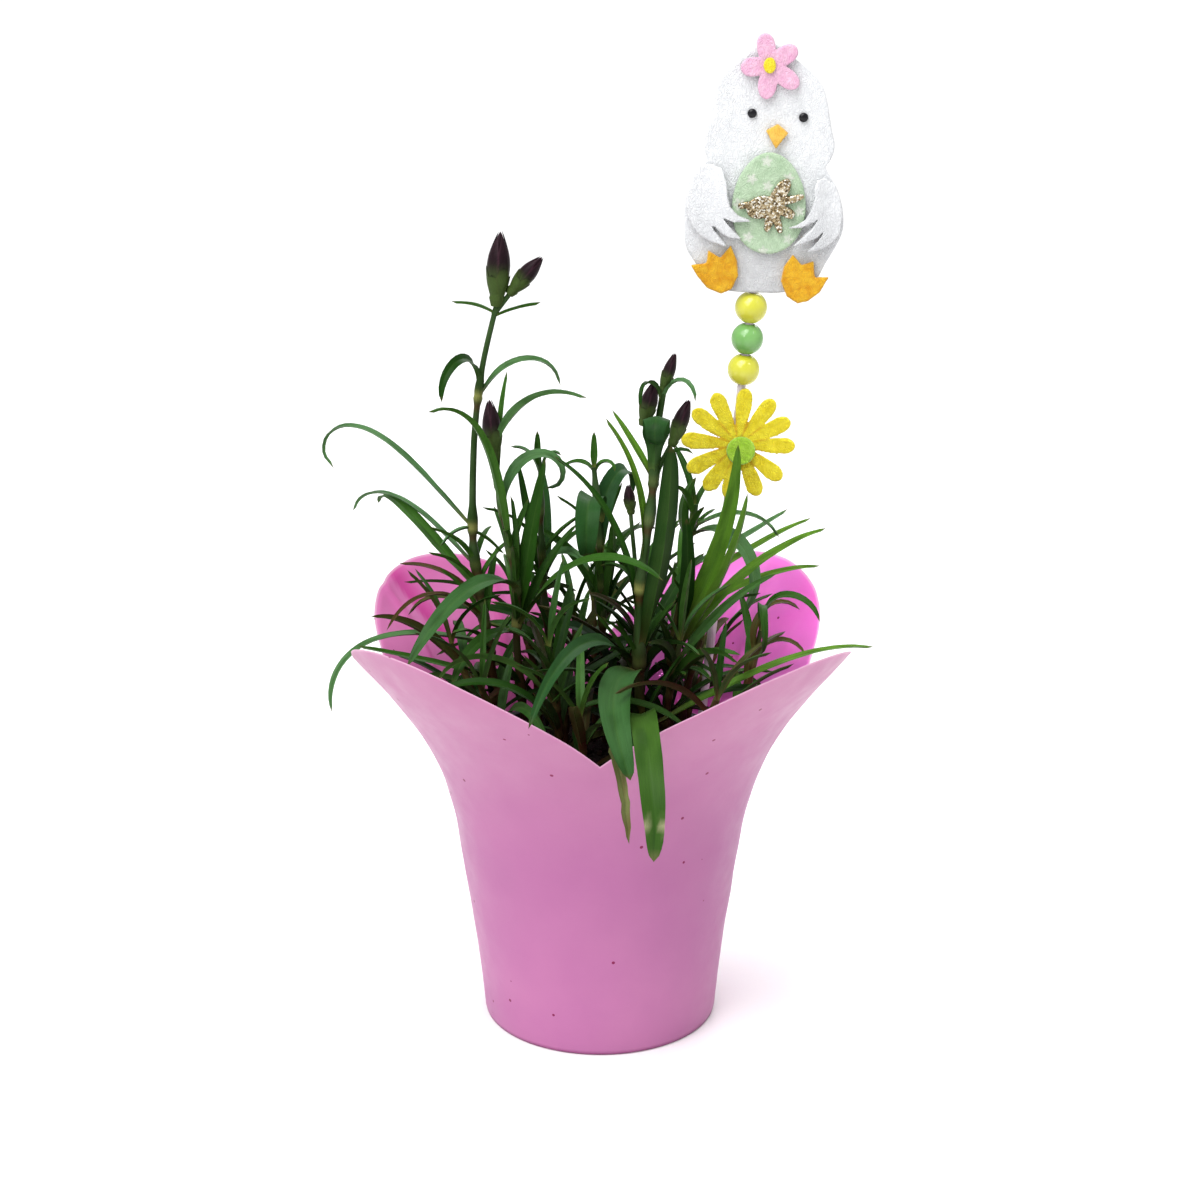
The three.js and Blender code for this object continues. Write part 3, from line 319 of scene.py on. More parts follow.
def skin_piece(name, skin, material, nodes=(), crease=50):
    mesh = bpy.data.meshes.new(name)
    mesh.from_pydata([tuple(c * MM for c in point) for point in skin.points], [], skin.faces)
    colours = mesh.attributes.new("paint", "FLOAT_COLOR", "POINT")
    colours.data.foreach_set("color", np.array(skin.paints, np.float32).ravel())
    grains = mesh.attributes.new("grain", "FLOAT_VECTOR", "POINT")
    grains.data.foreach_set("vector", np.array(skin.grains, np.float32).ravel())
    mesh.shade_smooth()
    mesh.set_sharp_from_angle(angle=math.radians(crease))
    mesh.validate()
    return finish_piece(bpy.data.objects.new(name, mesh), material, nodes)


# %% Small rules that every piece shares
def mix(a, b, share):
    return a + (b - a) * share


def smooth_step(low, high, value):
    share = min(max((value - low) / (high - low), 0.0), 1.0)
    return share * share * (3 - 2 * share)


def ripple(x, y, z, size, seed=0.0):
    return noise.noise(Vector((x / size + seed, y / size - seed, z / size)))


def smooth_through(values, position):
    i = min(max(math.floor(position), 0), len(values) - 2)
    t = position - i
    p1, p2 = values[i], values[i + 1]
    p0 = values[i - 1] if i > 0 else 2 * p1 - p2
    p3 = values[i + 2] if i + 2 < len(values) else 2 * p2 - p1
    return p1 + 0.5 * t * (
        p2 - p0 + t * (2 * p0 - 5 * p1 + 4 * p2 - p3 + t * (3 * (p1 - p2) + p3 - p0))
    )


# %% [markdown]
# ## Pot cover
# The cover is one sheet of pink film, pressed to a trumpet with four petal-shaped lobes. A cone
# with a wavy top would look stiff, so the wall follows a table of radii, one for every 20 mm of
# height, and each lobe of the rim is half a sine wave between two notches. Film is thin, so the
# wall is under half a millimetre, with soft dents and a few creases pressed into it.

# %% Form of the cover
COVER_RADII = [41, 42.9, 45.4, 48.6, 52, 59, 71.3, 87.3, 99.5, 106]
COVER_STEP = 20
COVER_REACH = 170
COVER_SHEET = 1
RIM_NOTCHES = [[0, 115.5], [93, 118], [180, 112], [272, 118], [360, 115.5]]
RIM_TOPS = [149.5, 146.5, 146.5, 152]
FLOOR_TOP = 1.6
FILM = 0.45


def cover_radius(z):
    return smooth_through(COVER_RADII, min(z, COVER_REACH) / COVER_STEP)


def rim_height(degrees):
    angle = degrees % 360
    lobe = next(i for i in range(4) if angle < RIM_NOTCHES[i + 1][0])
    start, low = RIM_NOTCHES[lobe]
    end, low_next = RIM_NOTCHES[lobe + 1]
    share = (angle - start) / (end - start)
    base = mix(low, low_next, share)
    return base + (RIM_TOPS[lobe] - base) * math.sin(math.pi * share)


def around(degrees, radius, z):
    angle = math.radians(degrees)
    return (radius * math.sin(angle), -radius * math.cos(angle), z)


# Creases: degrees from the front, turn on the way up, width in mm, depth in mm, from this height.
CREASES = [(128, 6, 2.2, 1.3, 96), (141, -4, 1.9, 1.2, 104), (152, 8, 2.4, 1.0, 92),
           (214, -7, 2.0, 1.4, 96), (226, 5, 2.4, 1.3, 88), (243, -3, 1.9, 1.5, 100),
           (310, 4, 3.4, 0.5, 120), (47, -3, 3.6, 0.45, 118), (112, 5, 2.6, 0.7, 100),
           (236, 9, 1.8, 1.2, 112), (167, -5, 2.0, 1.0, 90)]


def beside_crease(degrees, z, middle, turn, start):
    """How far a place on the wall lies from the line of a crease, in mm."""
    return (degrees - middle - turn * (z - start) / 50) * cover_radius(z) * math.pi / 180


def film_dent(degrees, z):
    x, y, _ = around(degrees, cover_radius(z), z)
    rise = smooth_step(4, 60, z)
    dent = rise * (0.9 * ripple(x, y, z, 38, 3.1) + 0.3 * ripple(x, y, z, 13, 7.7))
    runs_out = 0.25 + 0.75 * smooth_step(0, 12, rim_height(degrees) - z)
    for middle, turn, width, depth, start in CREASES:
        off = beside_crease(degrees, z, middle, turn, start)
        grown = smooth_step(start, start + 25, z)
        dent -= depth * runs_out * grown * math.exp(-((off / width) ** 2))
    return dent


# Folds with painted shade beside them: degrees, turn on the way up, start, width, strength.
FOLDS = [(229, 9, 98, 12, 1.0), (216, -8, 100, 7, 0.6), (243, -3, 104, 4, 0.4),
         (150, 8, 96, 6, 0.5)]


def fold_shade(degrees, z):
    """Painted shade on the film beside the folds of the lobes at the back."""
    shade = 0
    for middle, turn, start, width, strength in FOLDS:
        off = beside_crease(degrees, z, middle, turn, start)
        beside = smooth_step(1.2, -0.8, off) * smooth_step(-width, -1, off)
        shade += strength * beside * smooth_step(start, start + 15, z)
    return min(shade, 1)


# %% Mesh of the cover
LOBE_COLUMNS = 110
WALL_ROWS = 46
cover = Skin()
cover_columns = [
    mix(RIM_NOTCHES[lobe][0], RIM_NOTCHES[lobe + 1][0], i / LOBE_COLUMNS)
    for lobe in range(4) for i in range(LOBE_COLUMNS)
]


def cover_ring(radius_at, height_at, inner):
    """One ring of the sheet. Its paint holds: inner side, shade of a fold, sunlit right lobe."""
    rows = [(a, height_at(a)) for a in cover_columns]
    points = [around(a, radius_at(a, z), z) for a, z in rows]
    sides = [(inner, fold_shade(a, z), smooth_step(185, 165, a) * smooth_step(40, 90, a), 1.0)
             for a, z in rows]
    return points, sides, [(a, z, rim_height(a)) for a, z in rows]


def outer_wall(a, z):
    return cover_radius(z) - COVER_SHEET / 2 + min(film_dent(a, z), 0.5)


def wall_ring(share, depth, inner, foot=0):
    """A ring of the wall at a share of the rim's height, this deep inside the outer face."""
    return cover_ring(lambda a, z: outer_wall(a, z) - depth,
                      lambda a: max(foot, share * rim_height(a)), inner)


def rim_ring(drop, depth, inner):
    return cover_ring(lambda a, z: outer_wall(a, z) - depth, lambda a: rim_height(a) - drop, inner)


rings = [([(0, 0, 0)], [(0.0, 0.0, 0.0, 1.0)], [(0, 0, 0)])]
for radius, height in ((20, 0), (36, 0), (39.2, 0), (40.4, 0.4), (COVER_RADII[0] - 0.35, 1.5)):
    rings.append(cover_ring(lambda a, z, r=radius: r, lambda a, h=height: h, 0.0))
shares = [0.03 + 0.97 * k / WALL_ROWS for k in range(WALL_ROWS)]
rings += [wall_ring(share, 0, 0.0) for share in shares]
rings += [rim_ring(0.12, 0.05, 0.2), rim_ring(0, FILM / 2, 0.5), rim_ring(0.15, FILM, 1.0)]
rings += [wall_ring(share, FILM, 1.0, FLOOR_TOP) for share in reversed(shares)]
rings.append(cover_ring(lambda a, z: 30, lambda a: FLOOR_TOP, 1.0))
rings.append(([(0, 0, FLOOR_TOP)], [(1.0, 0.0, 0.0, 1.0)], [(0, 0, 0)]))
cover.loft(rings)
print("cover film:", len(cover.faces), "faces, rim from",
      min(map(rim_height, cover_columns)), "mm up")

# %% [markdown]
# ## Film finish
# The film is tinted through and printed matt outside. Outside it is a dusty pink, painted paler on
# the flare where daylight passes through it, and painted deeper in patches over the dark pot, as
# painted shade where the pot behind lets less light through. Inside it is a clear, bright magenta,
# with painted shade beside the folds at the back and painted sunlight on the right lobe. Small
# magenta specks sit in it where the colour didn't melt evenly. A painted highlight runs along the rim
# and a painted shadow along the foot. The colours are mixed by the side of the sheet and by height,
# and some light is let through.

# %% Film finish
film, tree, shader = new_finish("pink_film", Roughness=0.36, Specular_IOR_Level=0.3)
side = attribute(tree, "paint")
place = node(tree, "SeparateXYZ", {"Vector": attribute(tree, "grain", "Vector")}).outputs
height, rim = place["Y"], place["Z"]
cloud = grain(tree, 34.0, 5.0)


def clouded(dark, light):
    return shades(tree, cloud, (0.3, paint(*dark)), (0.7, paint(*light)))


outside = clouded((202, 122, 178), (211, 132, 184))
# Painted shade: deeper pink patches where the dark pot behind lets less light through the film.
patch = maths(tree, "MULTIPLY", grain(tree, 14.0, 2.0), ranged(tree, height, 20.0, 60.0, 0.5))
patch = maths(tree, "MULTIPLY", patch, 2.0, use_clamp=True)
outside = mixed(tree, patch, outside, paint(186, 110, 164))
flare = ranged(tree, height, 70.0, 140.0)
outside = mixed(tree, flare, outside, clouded((206, 131, 176), (213, 143, 184)))
inside = clouded((236, 118, 192), (244, 138, 206))
# Painted shade beside the folds, carried in the green channel of the paint.
inside = mixed(tree, channel(tree, side, "Green"), inside, paint(228, 76, 172))
# Painted sunlight: the inside of the right lobe is painted brighter, as if sun shone through it.
sunlit = clouded((255, 116, 222), (255, 138, 232))
inside = mixed(tree, channel(tree, side, "Blue"), inside, sunlit)
sheet = mixed(tree, channel(tree, side, "Red"), outside, inside)
# Painted highlight: a pale line along the rim of the film.
rim_highlight = ranged(tree, maths(tree, "SUBTRACT", rim, height), 0.9, 0.3, 0.6)
sheet = mixed(tree, rim_highlight, sheet, paint(246, 200, 226))
# Painted shadow: a dark magenta line along the foot of the cover, where it meets the floor.
sheet = mixed(tree, ranged(tree, height, 1.8, 0.6, 0.7), sheet, paint(150, 60, 120))
cells = node(tree, "TexVoronoi", {"Vector": on_object(tree), "Scale": 140.0}).outputs
chosen = maths(tree, "GREATER_THAN", channel(tree, cells["Color"], "Red"), 0.62)
speck = maths(tree, "MULTIPLY", chosen, maths(tree, "LESS_THAN", cells["Distance"], 0.085))
sheet = mixed(tree, maths(tree, "MULTIPLY", speck, 0.95), sheet, paint(140, 12, 78))
tree.links.new(sheet, shader.inputs["Base Color"])
feed(tree, shader, "Roughness", grain(tree, 160.0), (0.3, grey(0.3)), (0.7, grey(0.44)))
raise_grain(tree, shader, grain(tree, 420.0, 4.0), 0.12, 0.0004)
let_light_through(film, paint(240, 130, 200), 0.14)
tree.links.new(sheet, tree.nodes["Translucent BSDF"].inputs["Color"])
skin_piece("cover_film", cover, film, ["pot_cover"], crease=70)

# %% [markdown]
# ## Nursery pot and soil
# The grower's pot is thin black plastic with a rolled lip. It is turned like pottery: a profile
# swept round in many steps. The soil is a bumpy bed with loose crumbs of peat on it. Crumbs could
# be particles, but only real mesh is kept in a finished model, so each is a small squashed ball.

# %% Nursery pot
POT_FOOT, POT_TOP = 1.9, 94
POT_FOOT_RADIUS, POT_TOP_RADIUS = 38.6, 51.5
POT_WALL, POT_LIP = 1, 1.2


def turned(skin, profile, sides, colour):
    rings = []
    for radius, z in profile:
        if radius == 0:
            rings.append(([(0, 0, z)], [colour], [(0, 0, z)]))
            continue
        turns = [360 * j / sides for j in range(sides)]
        points = [around(a, radius, z) for a in turns]
        rings.append((points, [colour] * sides, [(a, radius, z) for a in turns]))
    skin.loft(rings)


grower_pot = Skin()
lip_foot = POT_TOP - 5
turned(grower_pot, [
    (0, POT_FOOT + 0.8), (30, POT_FOOT + 0.8), (31, POT_FOOT), (POT_FOOT_RADIUS - 1.2, POT_FOOT),
    (POT_FOOT_RADIUS, POT_FOOT + 1.4),
    (POT_TOP_RADIUS - 0.1, lip_foot), (POT_TOP_RADIUS + POT_LIP - 0.4, lip_foot + 0.1),
    (POT_TOP_RADIUS + POT_LIP, lip_foot + 0.6), (POT_TOP_RADIUS + POT_LIP, POT_TOP - 0.7),
    (POT_TOP_RADIUS + POT_LIP - 0.5, POT_TOP), (POT_TOP_RADIUS - 0.2, POT_TOP),
    (POT_TOP_RADIUS - 0.9, POT_TOP - 0.6), (POT_FOOT_RADIUS - 1, POT_FOOT + 2), (0, POT_FOOT + 1.8),
], 120, grey(0.02))
plastic, tree, shader = new_finish("black_pot_plastic", Roughness=0.5)
feed(tree, shader, "Base Color", grain(tree, 120.0, 5.0),
     (0.3, paint(28, 28, 30)), (0.75, paint(52, 50, 52)))
raise_grain(tree, shader, grain(tree, 1400.0, 2.0), 0.2, 0.0002)
skin_piece("grower_pot", grower_pot, plastic, ["nursery_pot"], crease=35)
print("nursery pot:", POT_TOP - POT_FOOT, "mm high")

# %% Soil bed
SOIL_TOP, SOIL_RELIEF = 90, 1.2
BURIED = 14
soil_edge = POT_TOP_RADIUS - POT_WALL - 1.1


def soil_height(x, y):
    return SOIL_TOP + SOIL_RELIEF * math.sin(0.31 * x + 0.7) * math.cos(0.27 * y - 0.4)


def rough_soil(x, y):
    lumps = 1.1 * ripple(x, y, 0, 5, 1.0) + 0.7 * ripple(x, y, 0, 1.9, 2.0)
    return soil_height(x, y) + lumps - 0.6


SOIL_FOOT = 76
SOIL_SIDES = 150
SOIL_RINGS = 40


def soil_ring(radius, height_at):
    ring = [around(360 * j / SOIL_SIDES, radius, 0) for j in range(SOIL_SIDES)]
    ring = [(x, y, height_at(x, y)) for x, y, _ in ring]
    return ring, [grey(0)] * SOIL_SIDES, ring


def soil_point(z):
    return [(0, 0, z)], [grey(0)], [(0, 0, 0)]


soil_bed = Skin()
soil_rings = [soil_point(SOIL_FOOT)]
for radius, z in ((38, SOIL_FOOT), (46.5, SOIL_FOOT), (soil_edge - 0.6, 88.5)):
    soil_rings.append(soil_ring(radius, lambda x, y, h=z: h))
for k in range(SOIL_RINGS):
    soil_rings.append(soil_ring(soil_edge * (1 - k / SOIL_RINGS) ** 0.85 - 0.4, rough_soil))
soil_rings.append(soil_point(rough_soil(0, 0)))
soil_bed.loft(soil_rings)

peat, tree, shader = new_finish("damp_peat", Roughness=0.92, Specular_IOR_Level=0.1)
feed(tree, shader, "Base Color", grain(tree, 240.0, 6.0),
     (0.3, paint(10, 7, 5)), (0.55, paint(26, 19, 14)), (0.8, paint(56, 42, 31)))
raise_grain(tree, shader, grain(tree, 900.0, 6.0), 0.7, 0.001)
skin_piece("soil_bed", soil_bed, peat, ["potting_soil"], crease=180)

# %% Crumbs of peat
crumb_draw = random.Random(7)
crumbs = bmesh.new()
CRUMBS = 620
for _ in range(CRUMBS):
    radius = (soil_edge - 2.5) * math.sqrt(crumb_draw.random())
    angle = crumb_draw.uniform(0, 360)
    x, y, _ = around(angle, radius, 0)
    size = crumb_draw.choice((0.7, 0.9, 1.2, 1.7)) * crumb_draw.uniform(0.8, 1.2)
    ball = bmesh.ops.create_icosphere(crumbs, subdivisions=1, radius=1)["verts"]
    squash = [crumb_draw.uniform(0.6, 1.1) for _ in range(3)]
    for point in ball:
        knob = 1 + 0.35 * ripple(*(point.co * 7 + Vector((x, y, size))), 6)
        point.co = Vector((
            (x + point.co.x * size * squash[0] * knob) * MM,
            (y + point.co.y * size * squash[1] * knob) * MM,
            (rough_soil(x, y) + size * 0.25 + point.co.z * size * squash[2] * knob * 0.7) * MM,
        ))
crumb_mesh = bpy.data.meshes.new("soil_crumbs")
crumbs.to_mesh(crumb_mesh)
crumb_mesh.shade_smooth()
finish_piece(bpy.data.objects.new("soil_crumbs", crumb_mesh), peat, [])
print("crumbs of peat:", CRUMBS)

# %% [markdown]
# ## The plan of the plant
# A dianthus grows by a simple grammar: a jointed stem, and at each joint a pair of narrow leaves.
# Drawing four hundred leaves by hand would take days and look no better than a rule with a few
# tables. The stems and leaves that give the plant its outline are listed one by one. Few of those
# leaves were simply given: a search tried values of the blade rule until each blade lay along its
# real leaf. The rest comes from a rule with a fixed chain of random numbers, the same chain that
# made the solids.

# %% Tables of stems and leaves
# Stems: node, foot radius, tip radius, points from the soil up, heights of the joints.
STEMS = [
    ["flower_stem_1", 1.7, 0.9, [[-34, 10, 90], [-38, 10, 128], [-42, 10, 157], [-43, 10, 170],
     [-42, 10, 202], [-39, 10, 226], [-33.5, 10, 249]], [110, 127, 137, 150, 158, 171, 216]],
    ["flower_stem_2", 1.5, 1, [[-24, 0, 90], [-28, 0, 131], [-28, 0, 153], [-31, 0, 172],
     [-34, 0, 191], [-35, 0, 199]], [115, 140, 152, 165, 179, 189]],
    ["flower_stem_3", 1.9, 1.1, [[13, -26, 90], [13, -25, 120], [13, -25, 160], [15, -25, 177],
     [17, -25, 195], [18, -25, 212], [20, -25, 226]], [112, 135, 160, 183, 196]],
    ["flower_stem_4", 1, 0.7, [[6, -12, 90], [11, -14, 130], [12, -14, 157], [10, -14, 183]],
     [128, 157]],
    ["leafy_shoot_middle", 1.3, 0.9, [[-14, 22, 90], [-18, 18, 130], [-20, 14, 165],
     [-20, 13, 193]], [112, 138, 150, 160, 176]],
    ["leafy_shoot_centre", 1.3, 0.9, [[2, 22, 90], [1, 16, 130], [0, 12, 165], [-2, 12, 192]],
     [114, 136, 150, 165, 180]],
    ["leafy_shoot_right", 1.5, 1, [[23, -2, 90], [24, 0, 128], [27, 0, 140]], [106, 118, 128]],
    ["leafy_shoot_right_back", 1.2, 0.9, [[22, 30, 90], [26, 32, 125], [30, 32, 155],
     [33, 32, 174]], [110, 126, 142, 158, 168]],
    ["leafy_shoot_far_right", 1.2, 0.9, [[42, -6, 90], [49, -6, 118], [54, -5, 140]],
     [106, 118, 128]],
]
# Short twigs that carry a bud beside the stem's own top: node, foot radius, tip radius, points.
TWIGS = [
    ["flower_stem_1", 0.9, 0.8, [[-35, 10, 244], [-29, 10, 251.6]]],
    ["flower_stem_3", 0.9, 0.8, [[17.5, -25, 203], [14, -27, 216]]],
    ["flower_stem_3", 0.9, 0.8, [[17, -25, 198], [23, -24, 209]]],
]
# Leaves: height on the stem, direction (0 right, 90 back, 180 left, 270 front), length, width,
# slope at the root, slope at the tip, how late the bend comes, sideways sweep, roll, and for some
# a word for their tint or state, or "shade" for painted shade.
LEAVES = {
    "flower_stem_1": [
        [244, 175, 15, 1.8, 30, -5, 1, 0, 0],
        [243, 0, 16, 1.8, 25, 5, 1, 0, 0],
        [216, 246, 39, 4.2, 109, -102, 1, -32, -44, "deep"],
        [216, 6, 38, 3.4, 56, -90, 1.7, 22, 26, "grey"],
        [171, 172, 79, 3.2, 47, -168, 4.1, -32, -17, "grey"],
        [171, 205, 14, 2, 10, -60, 1, 0, 0, "grey"],
        [170, 5, 14, 2, -25, -55, 1, 0, 0],
        [157.3, 151, 64, 3, 39, -69, 2.7, -19, 3, "grey"],
        [148, 157, 61, 5.2, 44, -61, 4.1, -54, -17],
        [143.6, 169, 33, 2.6, 53, -7, 1.1, 6, -22, "brown"],
        [139.1, 227, 54, 2.2, 46, -41, 1.3, 17, -19, "brown"],
        [137.2, 358, 46, 3, -16, -35, 1.5, -36, 9],
        [136.5, 179, 33, 2.6, 56, -68, 1.4, -8, -21, "brown"],
        [130.3, 193, 72, 3.8, 13, -108, 2.7, 54, -8, "grey"],
        [127, 250, 34, 3.6, 40, -50, 1, 0, 0, "grey"],
        [117.4, 202, 51, 3.4, 21, 19, 1.2, 6, -25],
        [110, 255, 30, 3.4, 45, -20, 1, 0, 0],
    ],
    "flower_stem_2": [
        [198, -29, 48, 4, 78, -17, 1.1, -3, -32, "grey"],
        [189, 63, 37, 2.8, 88, 68, 1.3, -6, -6],
        [179.4, 24, 45, 5, 80, -191, 2, -48, 30, "grey"],
        [165.1, 230, 72, 4.4, 78, -16, 3, -4, 7],
        [152.1, 239, 65, 6.6, 48, -53, 0.7, -18, -22, "waxy"],
        [151.6, -24, 33, 3.4, 86, 103, 1.4, 36, -33, "deep"],
        [138.2, -39, 74, 4.2, 56, -34, 1.8, 7, 37],
        [137.3, 19, 60, 6.6, 82, 78, 1, -26, 49, "deep"],
        [136.9, 223, 35, 5, 24, -63, 0.9, 10, -23],
        [134.1, 26, 45, 3.8, 74, 42, 1.2, -7, 28],
        [112.7, 229, 18, 3.2, 53, -56, 1.6, -22, -32, "brown"],
    ],
    "flower_stem_3": [
        [221.8, -40, 22, 2.2, 76, -99, 1.4, -11, 26, "grey"],
        [221.3, 230, 24, 2.2, 74, -125, 1.5, 45, 14, "deep"],
        [195.6, 142, 27, 3, 59, 46, 0.7, 1, -13, "fresh"],
        [190.7, -4, 24, 2.6, 79, -51, 2.7, -10, 32, "deep"],
        [195.6, 276, 48, 8.6, 76, -240, 3.2, -28, 0, "curled"],
        [166.5, 153, 52, 3.6, 97, 53, 1.1, 31, -21, "fresh"],
        [142.5, 160, 69, 3.6, 86, 32, 1.5, 14, -22, "deep"],
        [136.7, -13, 72, 7.2, 76, 90, 1.4, -32, -50, "shade"],
        [131.3, 254, 76, 10, 22, -50, 1.3, 48, -8, "waxy"],
        [113.8, 258, 87, 3.6, 23, -70, 1.9, 35, 11, "withered"],
        [113.6, 270, 104, 8.6, 28, -112, 2.3, 12, 11, "spotted"],
        [111.9, 131, 59, 3.4, -4, 5, 0.9, -7, -20],
        [109.9, 11, 87, 3.6, 27, -14, 2.6, 12, 18, "fresh"],
    ],
    "flower_stem_4": [
        [157, 6, 18, 2.8, 71, 44, 1.6, -1, 26, "deep"],
        [156.7, 148, 16, 2.6, 64, -28, 1.4, 37, -6, "deep"],
        [130.2, 249, 97, 5.6, 36, -46, 1.6, -2, -39, "blue"],
    ],
    "leafy_shoot_middle": [
        [190, 62, 14, 2.8, 115, 77, 1.1, 57, -6, "deep"],
        [189, 167, 15, 2, 73, -18, 1.7, 18, -14, "grey"],
        [188, 2, 14, 2, 86, -65, 2.3, -37, 2, "grey"],
        [149.7, -26, 29, 3.6, 95, -74, 1.2, -13, 41, "grey"],
        [148.9, 127, 43, 4, 65, 77, 0.9, 8, -8, "deep"],
        [148.3, 83, 43, 4.4, 70, 63, 0.4, 35, 7, "blue"],
        [138, 130, 40, 3.8, 40, -40, 1, 0, 0, "deep"],
        [131, -33, 34, 4.8, 41, -77, 1, -7, 21, "blue"],
        [112, 125, 25, 3.6, 55, -30, 1, 0, 0],
    ],
    "leafy_shoot_centre": [
        [191, 90, 12, 2.6, 85, 80, 1, 0, 0],
        [190, 149, 14, 2.1, 47, -44, 0.9, 8, -28],
        [190, -4, 11, 2.1, 71, -94, 1.3, -57, 20],
        [171.9, 259, 46, 8.4, 72, -136, 1.3, 13, -12, "blue"],
        [160.4, 51, 50, 7, 91, -125, 2.2, 25, 32, "blue"],
        [150, 60, 44, 4, 60, -30, 1, 0, 0, "deep"],
        [141.3, 163, 38, 4.4, 70, 20, 1.3, 22, -42],
        [139.7, 325, 33, 4.6, 72, 90, 0.8, -36, -14, "deep"],
        [136.7, 359, 22, 3.4, 78, 56, 1.1, -14, 42, "deep"],
        [136, 95, 48, 4, 55, -40, 1, 0, 0, "deep"],
        [132.7, 229, 32, 4, 62, 112, 0.7, 28, 1, "deep"],
    ],
    "leafy_shoot_right": [
        [135.3, 142, 42, 6, 104, 78, 1.6, -36, -25, "deep"],
        [134.2, 0, 71, 7, 62, 90, 1.4, -3, 59, "fresh"],
        [127.3, -25, 67, 4.4, 57, 81, 1.6, -5, -34, "fresh"],
        [127, 15, 71, 4.4, 54, 22, 1.5, -46, 39, "fresh"],
        [118.2, -31, 32, 3.4, 59, -22, 1.6, 21, 37, "mid"],
        [118, -60, 30, 4, 60, -20, 1, 0, 0],
        [106, 20, 44, 3.8, 55, -20, 1, 0, 0],
    ],
    "leafy_shoot_right_back": [
        [172, 120, 26, 3.2, 75, 30, 1, 0, 0, "deep"],
        [164.6, -4, 36, 2.6, 32, -68, 1.5, 23, 28, "grey"],
        [161.7, -39, 52, 6, 38, -144, 1.1, -5, 22, "grey"],
        [157.8, 180, 26, 4.6, 73, 129, 1.4, 9, 58, "deep"],
        [149.4, 27, 45, 3.6, 15, 26, 0.5, -4, 13, "grey"],
        [140.9, 16, 54, 3.6, 29, 15, 3.4, 1, 20, "fresh"],
        [129.3, 10, 56, 3.6, 33, 7, 1.6, -37, 32, "fresh"],
        [126, 80, 44, 3.6, 50, -30, 1, 0, 0, "deep"],
        [110, 60, 46, 3.8, 60, 10, 1, 0, 0, "deep"],
    ],
    "leafy_shoot_far_right": [
        [138.9, 266, 41, 3.4, 99, -166, 1.1, 25, -23],
        [138.8, -38, 35, 3.4, 94, -79, 1.2, 22, 34],
        [130.2, 42, 31, 3.2, 103, -52, 1.5, -61, 13, "brown"],
        [128, 100, 30, 3.2, 60, 20, 1, 0, 0],
        [118.3, 20, 34, 3.2, 95, -63, 1.4, -51, 26, "brown"],
        [106, -50, 28, 3.4, 54, 20, 1, 0, 0],
    ],
}
# Buds: node, stem that carries it, seat, lean from upright, direction of the lean, length, radius.
BUDS = [
    ["bud_1", "flower_stem_1", [-33.8, 10, 250], 4, 0, 22, 4.1],
    ["bud_2", "flower_stem_1", [-28.4, 10, 252.4], 42, -10, 15, 3],
    ["bud_3", "flower_stem_2", [-35, 0, 200], 4, 180, 18.5, 3.3],
    ["bud_4", "flower_stem_3", [20, -25, 227], 18, 0, 12, 2],
    ["bud_5", "flower_stem_3", [14, -27, 217], 14, 0, 13, 2.8],
    ["bud_6", "flower_stem_3", [23.4, -24, 209.8], 20, 0, 14.5, 2.6],
    ["bud_7", "flower_stem_4", [10, -14, 184], 6, 180, 9, 1.9],
]
print("stems:", len(STEMS), "leaves listed:", sum(map(len, LEAVES.values())), "buds:", len(BUDS))

# %% [markdown]
# ## Rules for stems and blades
# A stem is a smooth curve through its points. A blade starts on the stem, rises at one slope and
# ends at another, and `bend` says how late it changes its mind. `roll` turns the blade about its
# own length, so that its upper face looks at the light. Narrow blades end in a point, broad ones
# blunt.

# %% Rules for stems and blades
LEAF_STEPS = 12
LEAF_THICK = 0.95
LEAF_RISE = 1.1
JOINT_SWELL = 1.45
BROAD_LEAF = 7
BLUNT_TIP, POINTED_TIP = 6, 2.4


def stem_point(points, z):
    i = next((k for k, p in enumerate(points) if p[2] > z), None)
    i = len(points) - 2 if i is None else max(i - 1, 0)
    share = (z - points[i][2]) / (points[i + 1][2] - points[i][2])
    inside = min(max(share, 0), 1)
    return Vector([smooth_through([p[axis] for p in points], i + inside) for axis in (0, 1)] + [z])


def ahead(slope, heading, step=1.0):
    level = step * math.cos(slope)
    return Vector((level * math.cos(heading), level * math.sin(heading), step * math.sin(slope)))


def blade_frame(row, t):
    _, direction, _, _, rise, fall, bend, sweep, roll = row[:9]
    slope = math.radians(mix(rise, fall, t ** bend))
    heading = math.radians(direction + sweep * t * t)
    along = ahead(slope, heading)
    level = Vector((-math.sin(heading), math.cos(heading), 0))
    turn = math.radians(roll * min(1, t * 3))
    side = level * math.cos(turn) + along.cross(level) * math.sin(turn)
    return along, side, along.cross(side)


def blade_centres(root, row):
    _, direction, length, _, rise, fall, bend, sweep, _ = row[:9]
    centres = [root]
    for i in range(LEAF_STEPS):
        t = i / LEAF_STEPS
        heading = math.radians(direction + sweep * t * t)
        slope = math.radians(mix(rise, fall, ((i + 0.5) / LEAF_STEPS) ** bend))
        centres.append(centres[-1] + ahead(slope, heading, length / LEAF_STEPS))
    return centres


def blade_width(width, t):
    widening = 0.42 + 0.58 * math.sin(min(1, t / 0.4) * math.pi / 2)
    return width * widening * math.sqrt(1 - t ** (BLUNT_TIP if width > BROAD_LEAF else POINTED_TIP))


# %% [markdown]
# ## Keeping leaves clear of each other
# Real leaves push each other aside. The rule remembers each leaf as a row of flat beads, and a new
# leaf turns or shortens until none of its beads meets another. Comparing every pair one by one is
# slow in Python, so the beads are kept in arrays and compared all at once.

